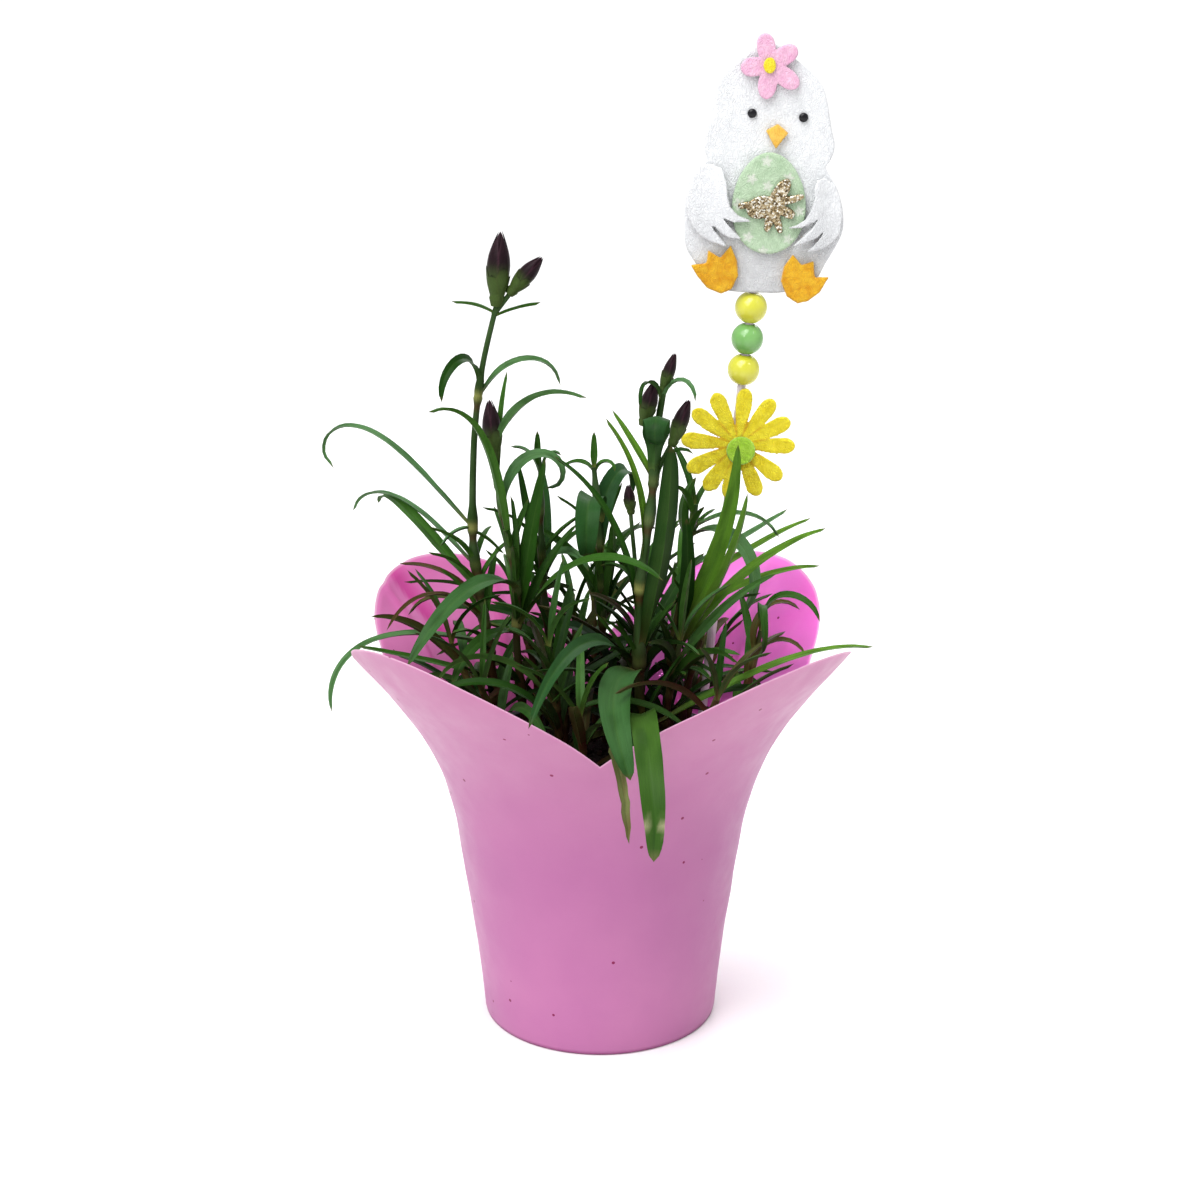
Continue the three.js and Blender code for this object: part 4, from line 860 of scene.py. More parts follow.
# %% Beads of a leaf
CLEARANCE = 0.55
MARGIN = 1.4
STICK_RADIUS = 1.5
STICK_Y = 15
STICK_FOOT = [31.3, STICK_Y, 60]
STICK_LEAN = 0.1
DAISY_X, DAISY_HEIGHT, DAISY_RADIUS = 46.2, 200, 19.2
FELT = 2
MEETING_REACH = 12
owners = []
bead_rows = {"centre": [], "axes": [], "owner": [], "near": []}


def owner_number(name):
    if name not in owners:
        owners.append(name)
    return owners.index(name)


def blade_beads(centres, row):
    axes = []
    for i in range(LEAF_STEPS + 1):
        along, side, up = blade_frame(row, i / LEAF_STEPS)
        half = blade_width(row[3], min(i / LEAF_STEPS, 0.97)) / 2
        axes.append([along * (row[2] / LEAF_STEPS / 2), side * half, up * (LEAF_THICK * 0.7)])
    near = np.arange(LEAF_STEPS + 1) < 3
    return np.array([list(c) for c in centres]), np.array(axes), near


def remember(centres, axes, near, owner):
    bead_rows["centre"].append(centres)
    bead_rows["axes"].append(axes)
    bead_rows["near"].append(near)
    bead_rows["owner"].append(np.full(len(centres), owner_number(owner)))


def remember_stem(points, radius, owner):
    size = radius * JOINT_SWELL
    heights = np.arange(points[0][2], points[-1][2] + 0.001, 3)
    centres = np.array([list(stem_point(points, z)) for z in heights])
    axes = np.tile(np.diag([size, size, 1.8]), (len(heights), 1, 1))
    remember(centres, axes, np.full(len(heights), True), owner)


def stick_x(z):
    return STICK_FOOT[0] + STICK_LEAN * (z - STICK_FOOT[2])


def bearing(x, y):
    return math.degrees(math.atan2(x, -y))


# %% Clearance
def bead_blocked(centre, axes):
    x, y, z = centre
    half = np.linalg.norm(axes[1])
    radius = math.hypot(x, y)
    if z < SOIL_TOP + SOIL_RELIEF + MARGIN and radius < POT_TOP_RADIUS:
        return True
    if z < POT_TOP + MARGIN and abs(radius - POT_TOP_RADIUS) < half + POT_LIP + MARGIN:
        return True
    wall = cover_radius(z) - COVER_SHEET / 2
    if z < rim_height(bearing(x, y)) + MARGIN and abs(radius - wall) < half + MARGIN:
        return True
    if math.hypot(x - stick_x(z), y - STICK_Y) < STICK_RADIUS + half + MARGIN:
        return True
    daisy = math.hypot(x - DAISY_X, z - DAISY_HEIGHT) < DAISY_RADIUS + 2 * MARGIN
    return daisy and abs(y - STICK_Y + 2 * FELT) < 2 * FELT + half


def crosses_wall(centres):
    for before, after in zip(centres, centres[1:]):
        inner, outer = (math.hypot(p[0], p[1]) < cover_radius(p[2]) for p in (before, after))
        low = min(before[2], after[2])
        if inner != outer and low < rim_height(bearing(after[0], after[1])) + MARGIN:
            return True
    return False


def is_clear(centres, axes, near, owner):
    if any(bead_blocked(c, a) for c, a in zip(centres, axes)) or crosses_wall(centres):
        return False
    there = np.concatenate(bead_rows["centre"])
    between = there[None] - centres[:, None]
    distance = np.linalg.norm(between, axis=2)
    toward = between / np.maximum(distance, 0.01)[..., None]
    own_reach = np.linalg.norm(np.einsum("ikc,ijc->ijk", axes, toward), axis=2)
    their_axes = np.concatenate(bead_rows["axes"])
    their_reach = np.linalg.norm(np.einsum("jkc,ijc->ijk", their_axes, toward), axis=2)
    same = (np.concatenate(bead_rows["owner"]) == owner_number(owner))[None]
    joined = same & (near[:, None] | np.concatenate(bead_rows["near"])[None])
    gap = np.where(same, 0, CLEARANCE)
    meeting = (distance <= MEETING_REACH) & (distance < own_reach + their_reach + gap) & ~joined
    return not meeting.any()


# %% [markdown]
# ## Filling shoots by rule
# Between the written stems, short leafy shoots fill the pot. Their feet turn by the golden angle,
# as the seeds of a sunflower do, which spreads them evenly without a pattern that the eye can
# catch. Each draws its height, its lean and its leaves from one fixed chain of numbers.

# %% Filling shoots by rule
TUFTS = 15
GOLDEN_ANGLE = 137.5
TURNS_TO_TRY = [0, 18, -18, 36, -36, 54, -54]
chain = {"link": 69}


def draw(low, high):
    chain["link"] = (chain["link"] * 1664525 + 1013904223) % 4294967296
    return mix(low, high, chain["link"] / 4294967296)


def tuft_rows():
    rows = []
    feet = [row[3][0] for row in STEMS]
    for k in range(80):
        if len(rows) == TUFTS:
            break
        angle = math.radians(k * GOLDEN_ANGLE)
        radius = 6 + 36 * math.sqrt((k % 20 + 0.5) / 20)
        foot = [radius * math.cos(angle), radius * math.sin(angle), SOIL_TOP]
        near = any(math.hypot(other[0] - foot[0], other[1] - foot[1]) < 8 for other in feet)
        if near or math.hypot(foot[0] - 34, foot[1] - STICK_Y) < 6:
            continue
        feet.append(foot)
        lean = draw(0.25, 0.45) * radius
        height = draw(34, 62) - 0.3 * radius
        points = [[foot[0] + math.cos(angle) * lean * share * share,
                   foot[1] + math.sin(angle) * lean * share * share,
                   SOIL_TOP + height * share] for share in (0, 0.5, 1)]
        joints = []
        joint = SOIL_TOP + 10
        while joint < SOIL_TOP + height - 5:
            joints.append(joint)
            joint += 10
        rows.append(["leafy_shoot_%02d" % (len(rows) + 1), 1.2, 0.8, points, joints])
    return rows


def tuft_leaves(row):
    points, joints = row[3], row[4]
    top = points[-1][2]
    leaves = []
    first = draw(0, 180)
    for i, joint in enumerate(joints):
        for turn in (0, 180):
            upper = (joint - SOIL_TOP) / (top - SOIL_TOP)
            leaves.append([
                joint, first + 90 * i + turn + draw(-15, 15), draw(40, 58), draw(3.2, 4.4),
                draw(45, 68), draw(-70, 10) + 15 * upper, draw(0.9, 1.5), draw(-20, 20),
                draw(-60, 60)])
    for i in range(3):
        leaves.append([top - 1, first + 45 + 120 * i, draw(24, 38), draw(2.2, 3.2),
                       draw(70, 84), draw(0, 60), 1, 0, 0])
    return leaves


def place_leaf(row, points, owner, must_stay):
    root = stem_point(points, row[0] + LEAF_RISE)
    for shorten in (1, 0.8, 0.62):
        for turn in TURNS_TO_TRY:
            tried = list(row)
            tried[1] += turn
            tried[2] *= shorten
            centres = blade_centres(root, tried)
            beads = blade_beads(centres, tried)
            if must_stay or is_clear(*beads, owner):
                remember(*beads, owner)
                return tried, centres
    return None


shoots = {}
all_rows = STEMS + tuft_rows()
for row in all_rows:
    remember_stem(row[3], row[1], row[0])
for row in all_rows:
    own = LEAVES.get(row[0])
    placed = [place_leaf(leaf, row[3], row[0], own is not None) for leaf in own or tuft_leaves(row)]
    shoots[row[0]] = (row, [leaf for leaf in placed if leaf])
print("shoots:", len(shoots), "leaves:", sum(len(leaves) for _, leaves in shoots.values()))

# %% [markdown]
# ## Blades
# A dianthus leaf is a narrow channel: a groove above, a keel below, thin edges that lift a little.
# Each blade gets that cross-section at every few millimetres of its length. Its paint is worked
# out point by point: pale and reddish at the root, darker along the blade, a lighter line on the
# midrib, a dry tip, and painted shade where the blade lies deep inside the plant. No two leaves
# draw the same green.

# %% Colours of a leaf
DEEP_GREEN = paint(26, 68, 10)
MID_GREEN = paint(76, 130, 44)
GREY_GREEN = paint(96, 142, 90)
RED_BROWN = paint(94, 42, 36)
ROOT_CREAM = paint(150, 156, 78)
ROOT_RED = paint(104, 46, 36)
DRY_TAN = paint(130, 138, 84)
SCORCH = paint(196, 190, 150)
DRY_BROWN = paint(108, 92, 56)
UNDER_GREEN = paint(84, 124, 54)
PAINTED_SHADOW = paint(5, 10, 3)
# The tint "shade" is painted shade: a darker green for a broad leaf that lies in shadow.
TINTS = {"deep": DEEP_GREEN, "mid": MID_GREEN, "grey": GREY_GREEN, "brown": RED_BROWN,
         "blue": paint(38, 84, 44), "curled": paint(38, 84, 44), "fresh": paint(106, 156, 44),
         "spotted": paint(78, 116, 42), "waxy": paint(66, 112, 60), "shade": paint(18, 54, 6)}
leaf_draw = random.Random(11)


def leaf_colours(owner, row, root):
    age = leaf_draw.random()
    tint = row[9] if len(row) > 9 else None
    if tint in TINTS:
        green = blend(TINTS[tint], MID_GREEN, (0 if tint == "shade" else 0.3) * age)
    elif owner in LEAVES:
        green = blend(MID_GREEN, DEEP_GREEN, 0.7 * age)
    else:
        green = blend(DEEP_GREEN, blend(MID_GREEN, GREY_GREEN, 0.6 * leaf_draw.random()), age)
    depth = smooth_step(150, 100, root[2])
    if owner not in LEAVES and leaf_draw.random() < 0.2 * depth:
        green = blend(green, RED_BROWN, 0.6)
    red = leaf_draw.uniform(0, 1) * (0.25 + 0.75 * depth)
    return {"green": green, "red": 0.8 if tint == "fresh" else red, "tint": tint,
            "seed": leaf_draw.uniform(0, 50)}


def daylight(point):
    """How much light reaches a point, for the painted shade of leaves and stems: little deep inside
    the leaves, all of it outside them.
    """
    x, y, z = point
    outward = math.sqrt((x / 64) ** 2 + (y / 60) ** 2 + ((z - 86) / 92) ** 2)
    return smooth_step(0.4, 0.98, outward)


def leaf_paint(look, t, across, under, lit):
    colour = look["green"]
    if under:
        colour = blend(colour, UNDER_GREEN, 0.25)
    rib = math.exp(-((across / 0.12) ** 2))
    colour = blend(colour, blend(colour, UNDER_GREEN, 0.6), 0.5 * rib)
    colour = blend(colour, ROOT_CREAM, 0.7 * smooth_step(0.13, 0.0, t))
    red = look["red"] * smooth_step(0.3, 0.04, t)
    colour = blend(colour, ROOT_RED, red * (0.5 + 0.5 * abs(across)))
    patch = ripple(t * 9, across * 1.5, look["seed"], 1)
    colour = blend(colour, DEEP_GREEN, 0.45 * smooth_step(-0.1, 0.5, patch))
    colour = blend(colour, DRY_BROWN, 0.8 * smooth_step(0.965, 0.995, t))
    if look["tint"] == "withered":
        dry = smooth_step(0.25, 0.5, t + 0.15 * patch)
        colour = blend(colour, blend(DRY_TAN, DRY_BROWN, 0.2 + patch), dry)
    if look["tint"] == "spotted":
        colour = blend(colour, DEEP_GREEN, 0.4 * smooth_step(0.4, 0.85, t))
        scorched = math.exp(-(((t - 0.885 - 0.03 * patch) / 0.016) ** 2))
        colour = blend(colour, SCORCH, 0.8 * (scorched * smooth_step(0.1, 0.7, abs(across))))
        colour = blend(colour, DRY_TAN, 0.5 * smooth_step(0.95, 0.985, t))
    # Painted shadow below the roll of the curled leaf and on the roll's underside.
    if look["tint"] == "curled":
        lit *= 1 - 0.55 * math.exp(-(((t - 0.34) / 0.1) ** 2)) - 0.5 * smooth_step(0.68, 0.78, t)
    # Painted shade: the paint is darkened where little light reaches the blade.
    return blend(PAINTED_SHADOW, colour, mix(0.12, 1, lit))


# %% Growing a blade
TOP_ACROSS = (1, 0.55, 0.14, 0, -0.14, -0.55, -1)
BOTTOM_ACROSS = (-0.55, -0.12, 0, 0.12, 0.55)


def grow_blade(skin, row, centres, look):
    length, width = row[2], row[3]
    stations = max(9, round(length / 2.4))
    rings = []
    for k in range(stations):
        t = k / stations
        centre = Vector([smooth_through([c[i] for c in centres], t * LEAF_STEPS) for i in range(3)])
        _, side, up = blade_frame(row, t)
        half = max(blade_width(width, t) / 2, 0.2)
        half *= 1 + 0.05 * ripple(t * length, look["seed"], 0, 7)
        cup = (0.34 - 0.16 * t) * half
        if look["tint"] == "curled":
            narrow = mix(0.66, 1, smooth_step(0.2, 0.4, t))
            half *= narrow * mix(1, 0.8, smooth_step(0.62, 0.8, t))
            cup = mix(cup, -0.3 * half, smooth_step(0.2, 0.45, t))
        if look["tint"] == "withered":
            crumple = smooth_step(0.3, 0.6, t)
            half *= 1 + crumple * (0.4 + 0.5 * ripple(t * length, 1, look["seed"], 3))
            cup += 0.5 * crumple * half
            centre = centre + side * (1.2 * crumple * ripple(t * length, 3, look["seed"], 5))
            centre = centre + up * (0.9 * crumple * ripple(t * length, 8, look["seed"], 4))
        lit = daylight(centre)
        points, paints, grains = [], [], []
        for under, row_across in ((False, TOP_ACROSS), (True, BOTTOM_ACROSS)):
            for across in row_across:
                edge = abs(across)
                wave = 0.16 * edge * ripple(t * length, across * 2, look["seed"], 5)
                groove = 0.1 * math.exp(-((across / 0.1) ** 2))
                level = cup * edge ** 1.3 - 0.12 - groove + wave
                if under:
                    level -= 0.2 + 0.26 * (1 - edge) + 0.2 * math.exp(-((across / 0.12) ** 2))
                points.append(centre + side * (across * half) + up * level)
                paints.append(leaf_paint(look, t, across, under, lit))
                grains.append((t * length, across * half, look["seed"]))
        rings.append((points, paints, grains))
    tip = centres[-1]
    tip_paint = leaf_paint(look, 1, 0, False, daylight(tip))
    rings.append(([tip], [tip_paint], [(length, 0, look["seed"])]))
    skin.loft(rings)


# %% [markdown]
# ## Stems
# Stems are round with a bloom of wax, and swell at each joint, where the leaves clasp them. The
# joint shows a pale ring with a red shadow under it. Old stems near the soil turn brown. Deep
# inside the plant the stems get painted shade.

# %% Growing a stem
STEM_GREEN = paint(44, 74, 26)
STEM_BLOOM = paint(78, 106, 62)
STEM_BROWN = paint(92, 50, 32)
JOINT_CREAM = paint(164, 168, 92)
JOINT_RED = paint(96, 50, 36)
JOINT_LIME = paint(138, 148, 38)
# Old joints that have swollen and gone pale; the others only show a trace.
PALE_JOINTS = {"flower_stem_1": (171, 216), "flower_stem_3": (160,), "flower_stem_2": (140,)}
LIME_JOINTS = {"flower_stem_3": (112,)}
STEM_SIDES = 14


def stem_paint(name, centre, turn, joints, seed):
    z = centre[2]
    colour = blend(STEM_GREEN, STEM_BLOOM, 0.4 + 0.9 * ripple(z, turn * 2, seed, 9))
    old = smooth_step(152, 112, z)
    colour = blend(colour, STEM_BROWN, old * (0.45 if name == "flower_stem_3" else 0.85))
    for joint in joints:
        off = z - joint
        pale = 0.95 if joint in PALE_JOINTS.get(name, ()) else 0.18
        cream, low = JOINT_CREAM, 1.6
        if joint in LIME_JOINTS.get(name, ()):
            cream, pale, low = JOINT_LIME, 1.0, 7
        colour = blend(colour, cream, pale * math.exp(-(((off - 1) / low) ** 2)))
        colour = blend(colour, JOINT_RED, 0.6 * math.exp(-(((off + 2.6) / 1.6) ** 2)))
    # Painted shade: the stem's paint is darkened deep inside the plant.
    return blend(PAINTED_SHADOW, colour, mix(0.3, 1, daylight(centre)))


def across_axes(along):
    helper = Vector((0, 1, 0)) if abs(along[1]) < 0.9 else Vector((1, 0, 0))
    side = helper.cross(along).normalized()
    return side, along.cross(side)


def spoke(side, up, turn):
    return side * math.cos(turn) + up * math.sin(turn)


def round_ring(centre, along, radius_at, sides, paint_at):
    """A ring round an axis. Its radius and paint may each be a rule for a turn, or one value."""
    side, up = across_axes(along)
    points, paints, grains = [], [], []
    for j in range(sides):
        turn = 2 * math.pi * j / sides
        radius = radius_at(turn) if callable(radius_at) else radius_at
        points.append(centre + spoke(side, up, turn) * radius)
        paints.append(paint_at(turn) if callable(paint_at) else paint_at)
        grains.append((centre[2], turn * radius, 0))
    return points, paints, grains


def grow_stem(skin, row, seed):
    name, foot_radius, tip_radius, points, joints = row
    foot, top = points[0][2], points[-1][2]
    heights = [foot - BURIED, foot - 3]
    z = foot
    while z < top - 0.6:
        heights.append(z)
        z += 1.2
    heights.append(top)
    rings = []
    for z in heights:
        centre = stem_point(points, max(z, foot))
        centre[2] = z
        above = stem_point(points, min(max(z, foot) + 1, top))
        below = stem_point(points, max(min(z, top) - 1, foot))
        along = (above - below).normalized() if z >= foot else Vector((0, 0, 1))
        radius = mix(foot_radius, tip_radius, max(0, (z - foot) / (top - foot)))
        swell = sum(math.exp(-(((z - j) / 1.5) ** 2)) for j in joints)
        # The feet of the leaves clasp the stem above each joint, as a sheath.
        sheath = sum(smooth_step(-1, 2.5, z - j) * smooth_step(10, 3, z - j) for j in joints)
        radius *= 0.93 + max((JOINT_SWELL - 0.93) * min(swell, 1), 0.5 * min(sheath, 1))
        rings.append(round_ring(
            centre, along, lambda turn, r=radius: r * (1 + 0.035 * math.cos(4 * turn)), STEM_SIDES,
            lambda turn, c=centre: stem_paint(name, c, turn, joints, seed),
        ))
    skin.loft(rings)


TWIG_RINGS = 8


def grow_twig(skin, foot_radius, tip_radius, points):
    low, high = Vector(points[0]), Vector(points[-1])
    rings = []
    for k in range(TWIG_RINGS):
        share = k / (TWIG_RINGS - 1)
        centre = low.lerp(high, share)
        rings.append(round_ring(
            centre, (high - low).normalized(), mix(foot_radius, tip_radius, share), STEM_SIDES,
            lambda turn, c=centre: stem_paint("twig", c, turn, [], 2.0),
        ))
    skin.loft(rings)


# %% [markdown]
# ## Buds
# A dianthus bud is a spindle of dark petals rolled round each other, held by green scales. A
# single spindle would look like a seed, so over a ridged core lie five petal tips, each a thin
# pointed shell that follows the spindle, and below them the shorter green scales of the calyx.

# %% Growing a bud
BUD_OUTLINE = [0.5, 0.86, 1, 0.98, 0.82, 0.42, 0.05]
BUD_SHARES = [0, 0.2, 0.42, 0.52, 0.66, 0.86, 1]
BUD_DARK = paint(26, 16, 20)
BUD_PURPLE = paint(74, 42, 56)
BUD_TIP = paint(54, 32, 40)
CALYX_GREEN = paint(78, 102, 48)
CALYX_RED = paint(92, 60, 46)
SLIM = 0.9
BUD_PETALS = 5
BUD_SIDES, BUD_RINGS = 30, 20
CALYX_TEETH = 6
SCALE_RINGS = 12


def bud_radius(share, radius):
    inside = min(max(share, 0), 1)
    i = next(k for k in range(len(BUD_SHARES) - 1) if inside <= BUD_SHARES[k + 1])
    local = (inside - BUD_SHARES[i]) / (BUD_SHARES[i + 1] - BUD_SHARES[i])
    return SLIM * radius * smooth_through(BUD_OUTLINE, i + local)


def bud_axes(lean, direction):
    a, b = math.radians(lean), math.radians(direction)
    axis = Vector((math.sin(a) * math.cos(b), math.sin(a) * math.sin(b), math.cos(a)))
    return (axis,) + across_axes(axis)


def bud_core(skin, bud):
    seat, length, radius = Vector(bud[2]), bud[5], bud[6]
    axis, side, up = bud_axes(bud[3], bud[4])
    rings = []
    for k in range(BUD_RINGS):
        share = k / BUD_RINGS
        points, paints, grains = [], [], []
        for j in range(BUD_SIDES):
            turn = 2 * math.pi * j / BUD_SIDES
            ridge = math.cos(BUD_PETALS * (turn + 0.9 * share))
            size = bud_radius(share, radius) * (0.9 + 0.07 * ridge)
            points.append(seat + axis * (share * length * 0.97) + spoke(side, up, turn) * size)
            colour = blend(BUD_DARK, BUD_PURPLE, 0.35 + 0.35 * ridge)
            paints.append(blend(colour, CALYX_GREEN, smooth_step(0.6, 0.25, share)))
            grains.append((share * length, turn * size, 0))
        rings.append((points, paints, grains))
    rings.append(([seat + axis * length * 0.97], [BUD_TIP], [(length, 0, 0)]))
    skin.loft(rings)


def bud_scale(skin, bud, turn, start, end, span, lift, colours, grow=0.0):
    seat, length, radius = Vector(bud[2]), bud[5], bud[6]
    axis, side, up = bud_axes(bud[3], bud[4])
    rings = []
    for k in range(SCALE_RINGS):
        t = k / SCALE_RINGS
        share = mix(start, end, t)
        half = math.radians(span) / 2 * math.sqrt(max(1 - t ** 2.2, 0))
        if share > 0:
            base = bud_radius(share, radius)
        else:
            base = radius * (0.32 + 0.25 * (1 + share / 0.16))
        outward = base + lift + grow * t ** 3
        points, paints, grains = [], [], []
        for under, row_across in ((False, (1, 0.6, 0, -0.6, -1)), (True, (-0.6, 0, 0.6))):
            for across in row_across:
                angle = turn + across * half
                crown = 0.12 * (1 - across * across)
                size = outward + crown - (0.28 if under else 0)
                points.append(seat + axis * (share * length) + spoke(side, up, angle) * size)
                edge = smooth_step(0.6, 1, abs(across))
                tip = smooth_step(0.6, 1, t)
                colour = blend(colours[0], colours[1], 0.15 + 0.6 * edge)
                colour = blend(colour, colours[2], 0.85 * tip)
                paints.append(blend(colour, CALYX_GREEN, 0.85 * smooth_step(0.56, 0.2, share)))
                grains.append((share * length, angle * size, turn))
        # Points run round the axis, so their order is turned for an outward skin.
        rings.append((points[::-1], paints[::-1], grains[::-1]))
    end_radius = bud_radius(min(end, 0.99), radius) + lift + grow
    tip = seat + axis * (end * length) + spoke(side, up, turn) * end_radius
    rings.append(([tip], [colours[2]], [(end * length, 0, turn)]))
    skin.loft(rings)


def bud_petals(skin, bud):
    bud_core(skin, bud)
    for k, end in enumerate((0.99, 0.93, 0.97, 0.9, 0.95)):
        bud_scale(skin, bud, 2 * math.pi * k / BUD_PETALS + 0.3, 0.12, end, 96, -0.02 * k + 0.12,
                  (BUD_DARK, BUD_PURPLE, BUD_TIP))


def calyx(skin, bud):
    for k in range(CALYX_TEETH):
        end, lift = (0.34, 0.34) if k % 2 == 0 else (0.46, 0.2)
        bud_scale(skin, bud, 2 * math.pi * k / CALYX_TEETH, -0.14, end, 104, lift,
                  (CALYX_GREEN, CALYX_RED, BUD_DARK), grow=0.1)


# %% [markdown]
# ## Leaf, stem and bud finish
# The paint comes with the mesh. The shader adds what is finer than the mesh: veins that run along
# the blade, a speckle of wax, small differences of gloss. Leaves are thin, so a little light goes
# through them and comes out yellower.

# %% Leaf finish
def plant_finish(name, vein_strength, roughness, through):
    material, tree, shader = new_finish(name, Specular_IOR_Level=0.09)
    where = attribute(tree, "grain", "Vector")
    lines = node(tree, "Mapping", {"Vector": where, "Scale": (0.05, 2.6, 1)}).outputs["Vector"]
    veins = node(tree, "TexNoise", {"Vector": lines, "Scale": 2.0, "Detail": 2.0}).outputs["Fac"]
    speckle = node(tree, "TexNoise", {"Vector": where, "Scale": 3.2, "Detail": 3.0}).outputs["Fac"]
    veined = shades(tree, veins, (0.3, grey(1 - vein_strength)), (0.7, grey(1.0)))
    colour = tinted(tree, attribute(tree, "paint"), veined)
    colour = tinted(tree, colour, shades(tree, speckle, (0.3, grey(0.84)), (0.65, grey(1.0))))
    tree.links.new(colour, shader.inputs["Base Color"])
    feed(tree, shader, "Roughness", speckle,
         (0.3, grey(roughness - 0.08)), (0.7, grey(roughness + 0.1)))
    raise_grain(tree, shader, veins, 0.18, 0.0003)
    if through:
        let_light_through(material, grey(1), through)
        warm = tinted(tree, colour, (1.0, 1.0, 0.55, 1))
        tree.links.new(warm, tree.nodes["Translucent BSDF"].inputs["Color"])
    return material


leaf_finish = plant_finish("waxy_leaf", 0.2, 0.42, 0.14)
bud_finish = plant_finish("bud_petal", 0.4, 0.4, 0)

# %% Grow the whole plant
side_leaf_draw = random.Random(23)


def side_leaves(row):
    """Young leaves that sprout in the fork of each joint."""
    sprout = side_leaf_draw.uniform
    leaves = []
    for joint in row[4]:
        if joint <= 170:
            for turn in (0, 180):
                leaves.append([joint, sprout(0, 90) + turn, sprout(18, 32), sprout(2.2, 4),
                               sprout(58, 78), sprout(-10, 60), 1, 0, 0])
    return leaves


def hides_stick(centres):
    """Whether a blade would stand in front of the stick and take it out of sight."""
    return any(abs(c[0] - stick_x(c[2])) < 7 and c[1] < STICK_Y for c in centres)


leaf_faces = 0
for number, (name, (row, leaves)) in enumerate(shoots.items()):
    skin = Skin()
    grow_stem(skin, row, number)
    for owner, foot_radius, tip_radius, points in TWIGS:
        if owner == name:
            grow_twig(skin, foot_radius, tip_radius, points)
    for leaf, centres in leaves:
        grow_blade(skin, leaf, centres, leaf_colours(name, leaf, centres[0]))
    for leaf in side_leaves(row):
        grown = place_leaf(leaf, row[3], name, False)
        if grown and not hides_stick(grown[1]):
            grow_blade(skin, *grown, leaf_colours(name, leaf, grown[1][0]))
    for bud in BUDS:
        if bud[1] == name:
            calyx(skin, bud)
    skin_piece(name + "_grown", skin, leaf_finish, [name], crease=60)
    leaf_faces += len(skin.faces)
for bud in BUDS:
    skin = Skin()
    bud_petals(skin, bud)
    skin_piece(bud[0] + "_petals", skin, bud_finish, [bud[0]], crease=60)
print("faces on stems and leaves:", leaf_faces)

# %% [markdown]
# ## Stick and beads
# The decoration hangs on a thin wooden skewer, dipped in white paint. Three round beads are
# threaded on it. Each bead is turned from a half circle that stops at the bore, so the hole is
# real. The gloss is a clear hard coat over coloured plastic with a faint swirl.

# %% Stick
STICK_TOP = 292


def stick_point(z):
    return Vector((stick_x(z), STICK_Y, z))


stick = Skin()
stick_along = Vector((STICK_LEAN, 0, 1)).normalized()
STICK_RINGS = 91
stick_rings = []
for k in range(STICK_RINGS):
    z = mix(STICK_FOOT[2], STICK_TOP, k / (STICK_RINGS - 1))
    size = STICK_RADIUS * (0.88 if k in (0, STICK_RINGS - 1) else 1)
    stick_rings.append(round_ring(
        stick_point(z), stick_along,
        lambda turn, h=z, r=size: r * (0.97 + 0.03 * ripple(turn * 2, h, 0, 6)), 24, grey(0.8)))
stick.loft(stick_rings)
paint_coat, tree, shader = new_finish("white_painted_wood", Roughness=0.42)
wood_lines = grain(tree, 1.0, 3.0, (2600, 2600, 90))
# The pink cast of the paint is a painted reflection of the pink cover; the streaks are the wood's
# grain under the paint.
feed(tree, shader, "Base Color", wood_lines,
     (0.25, paint(206, 190, 198)), (0.6, paint(236, 228, 232)))
raise_grain(tree, shader, wood_lines, 0.35, 0.0003)
skin_piece("painted_stick", stick, paint_coat, ["pick_stick"], crease=60)
print("stick:", STICK_TOP - STICK_FOOT[2], "mm long")

# %% Beads
BEAD_RADIUS = 5.35
BEAD_BORE = STICK_RADIUS + 0.3
BEAD_HEIGHTS = [224.8, 235.2, 245.6]
BEAD_SIDES = 56


def bead_finish(name, dark, light):
    material, tree, shader = new_finish(name, Roughness=0.16, Specular_IOR_Level=0.35,
                                        Coat_Weight=0.3)
    feed(tree, shader, "Base Color", grain(tree, 130.0, 4.0), (0.3, dark), (0.7, light))
    feed(tree, shader, "Roughness", grain(tree, 700.0), (0.3, grey(0.12)), (0.75, grey(0.24)))
    raise_grain(tree, shader, grain(tree, 300.0, 2.0), 0.05, 0.0004)
    return material


yellow_bead = bead_finish("yellow_bead_gloss", paint(206, 204, 52), paint(222, 220, 84))
green_bead = bead_finish("green_bead_gloss", paint(108, 168, 84), paint(132, 188, 110))
limit = math.asin(BEAD_BORE / BEAD_RADIUS)
arc = [mix(limit, math.pi - limit, k / 30) for k in range(31)]
rim = BEAD_RADIUS * math.cos(limit)
bead_profile = (
    [(BEAD_BORE, -rim + 0.5), (BEAD_BORE + 0.12, -rim + 0.1)]
    + [(BEAD_RADIUS * math.sin(a), -BEAD_RADIUS * math.cos(a)) for a in arc[1:-1]]
    + [(BEAD_BORE + 0.12, rim - 0.1), (BEAD_BORE, rim - 0.5)]
)
for i, z in enumerate(BEAD_HEIGHTS, 1):
    bead = Skin()
    rows = []
    for radius, level in bead_profile:
        centre = stick_point(z) + stick_along * level
        rows.append(bead.ring(*round_ring(centre, stick_along, radius, BEAD_SIDES, grey(0.8))))
    for low, high in zip(rows, rows[1:] + rows[:1]):
        bead.join(low, high)
    material, slot = (green_bead, "bead_green") if i == 2 else (yellow_bead, "bead_yellow")
    skin_piece("glossy_bead_%d" % i, bead, material, ["bead_%d" % i], crease=60)
print("beads on the stick:", len(BEAD_HEIGHTS))

# %% [markdown]
# ## Felt
# Felt is a mat of fibres: soft at its cut edge, a little lumpy, never quite flat. Each piece is
# its outline with the edges drawn in front and back, remeshed to small even cells, and then each
# point is moved by noise. A bevel on a flat plate would keep its machined look.

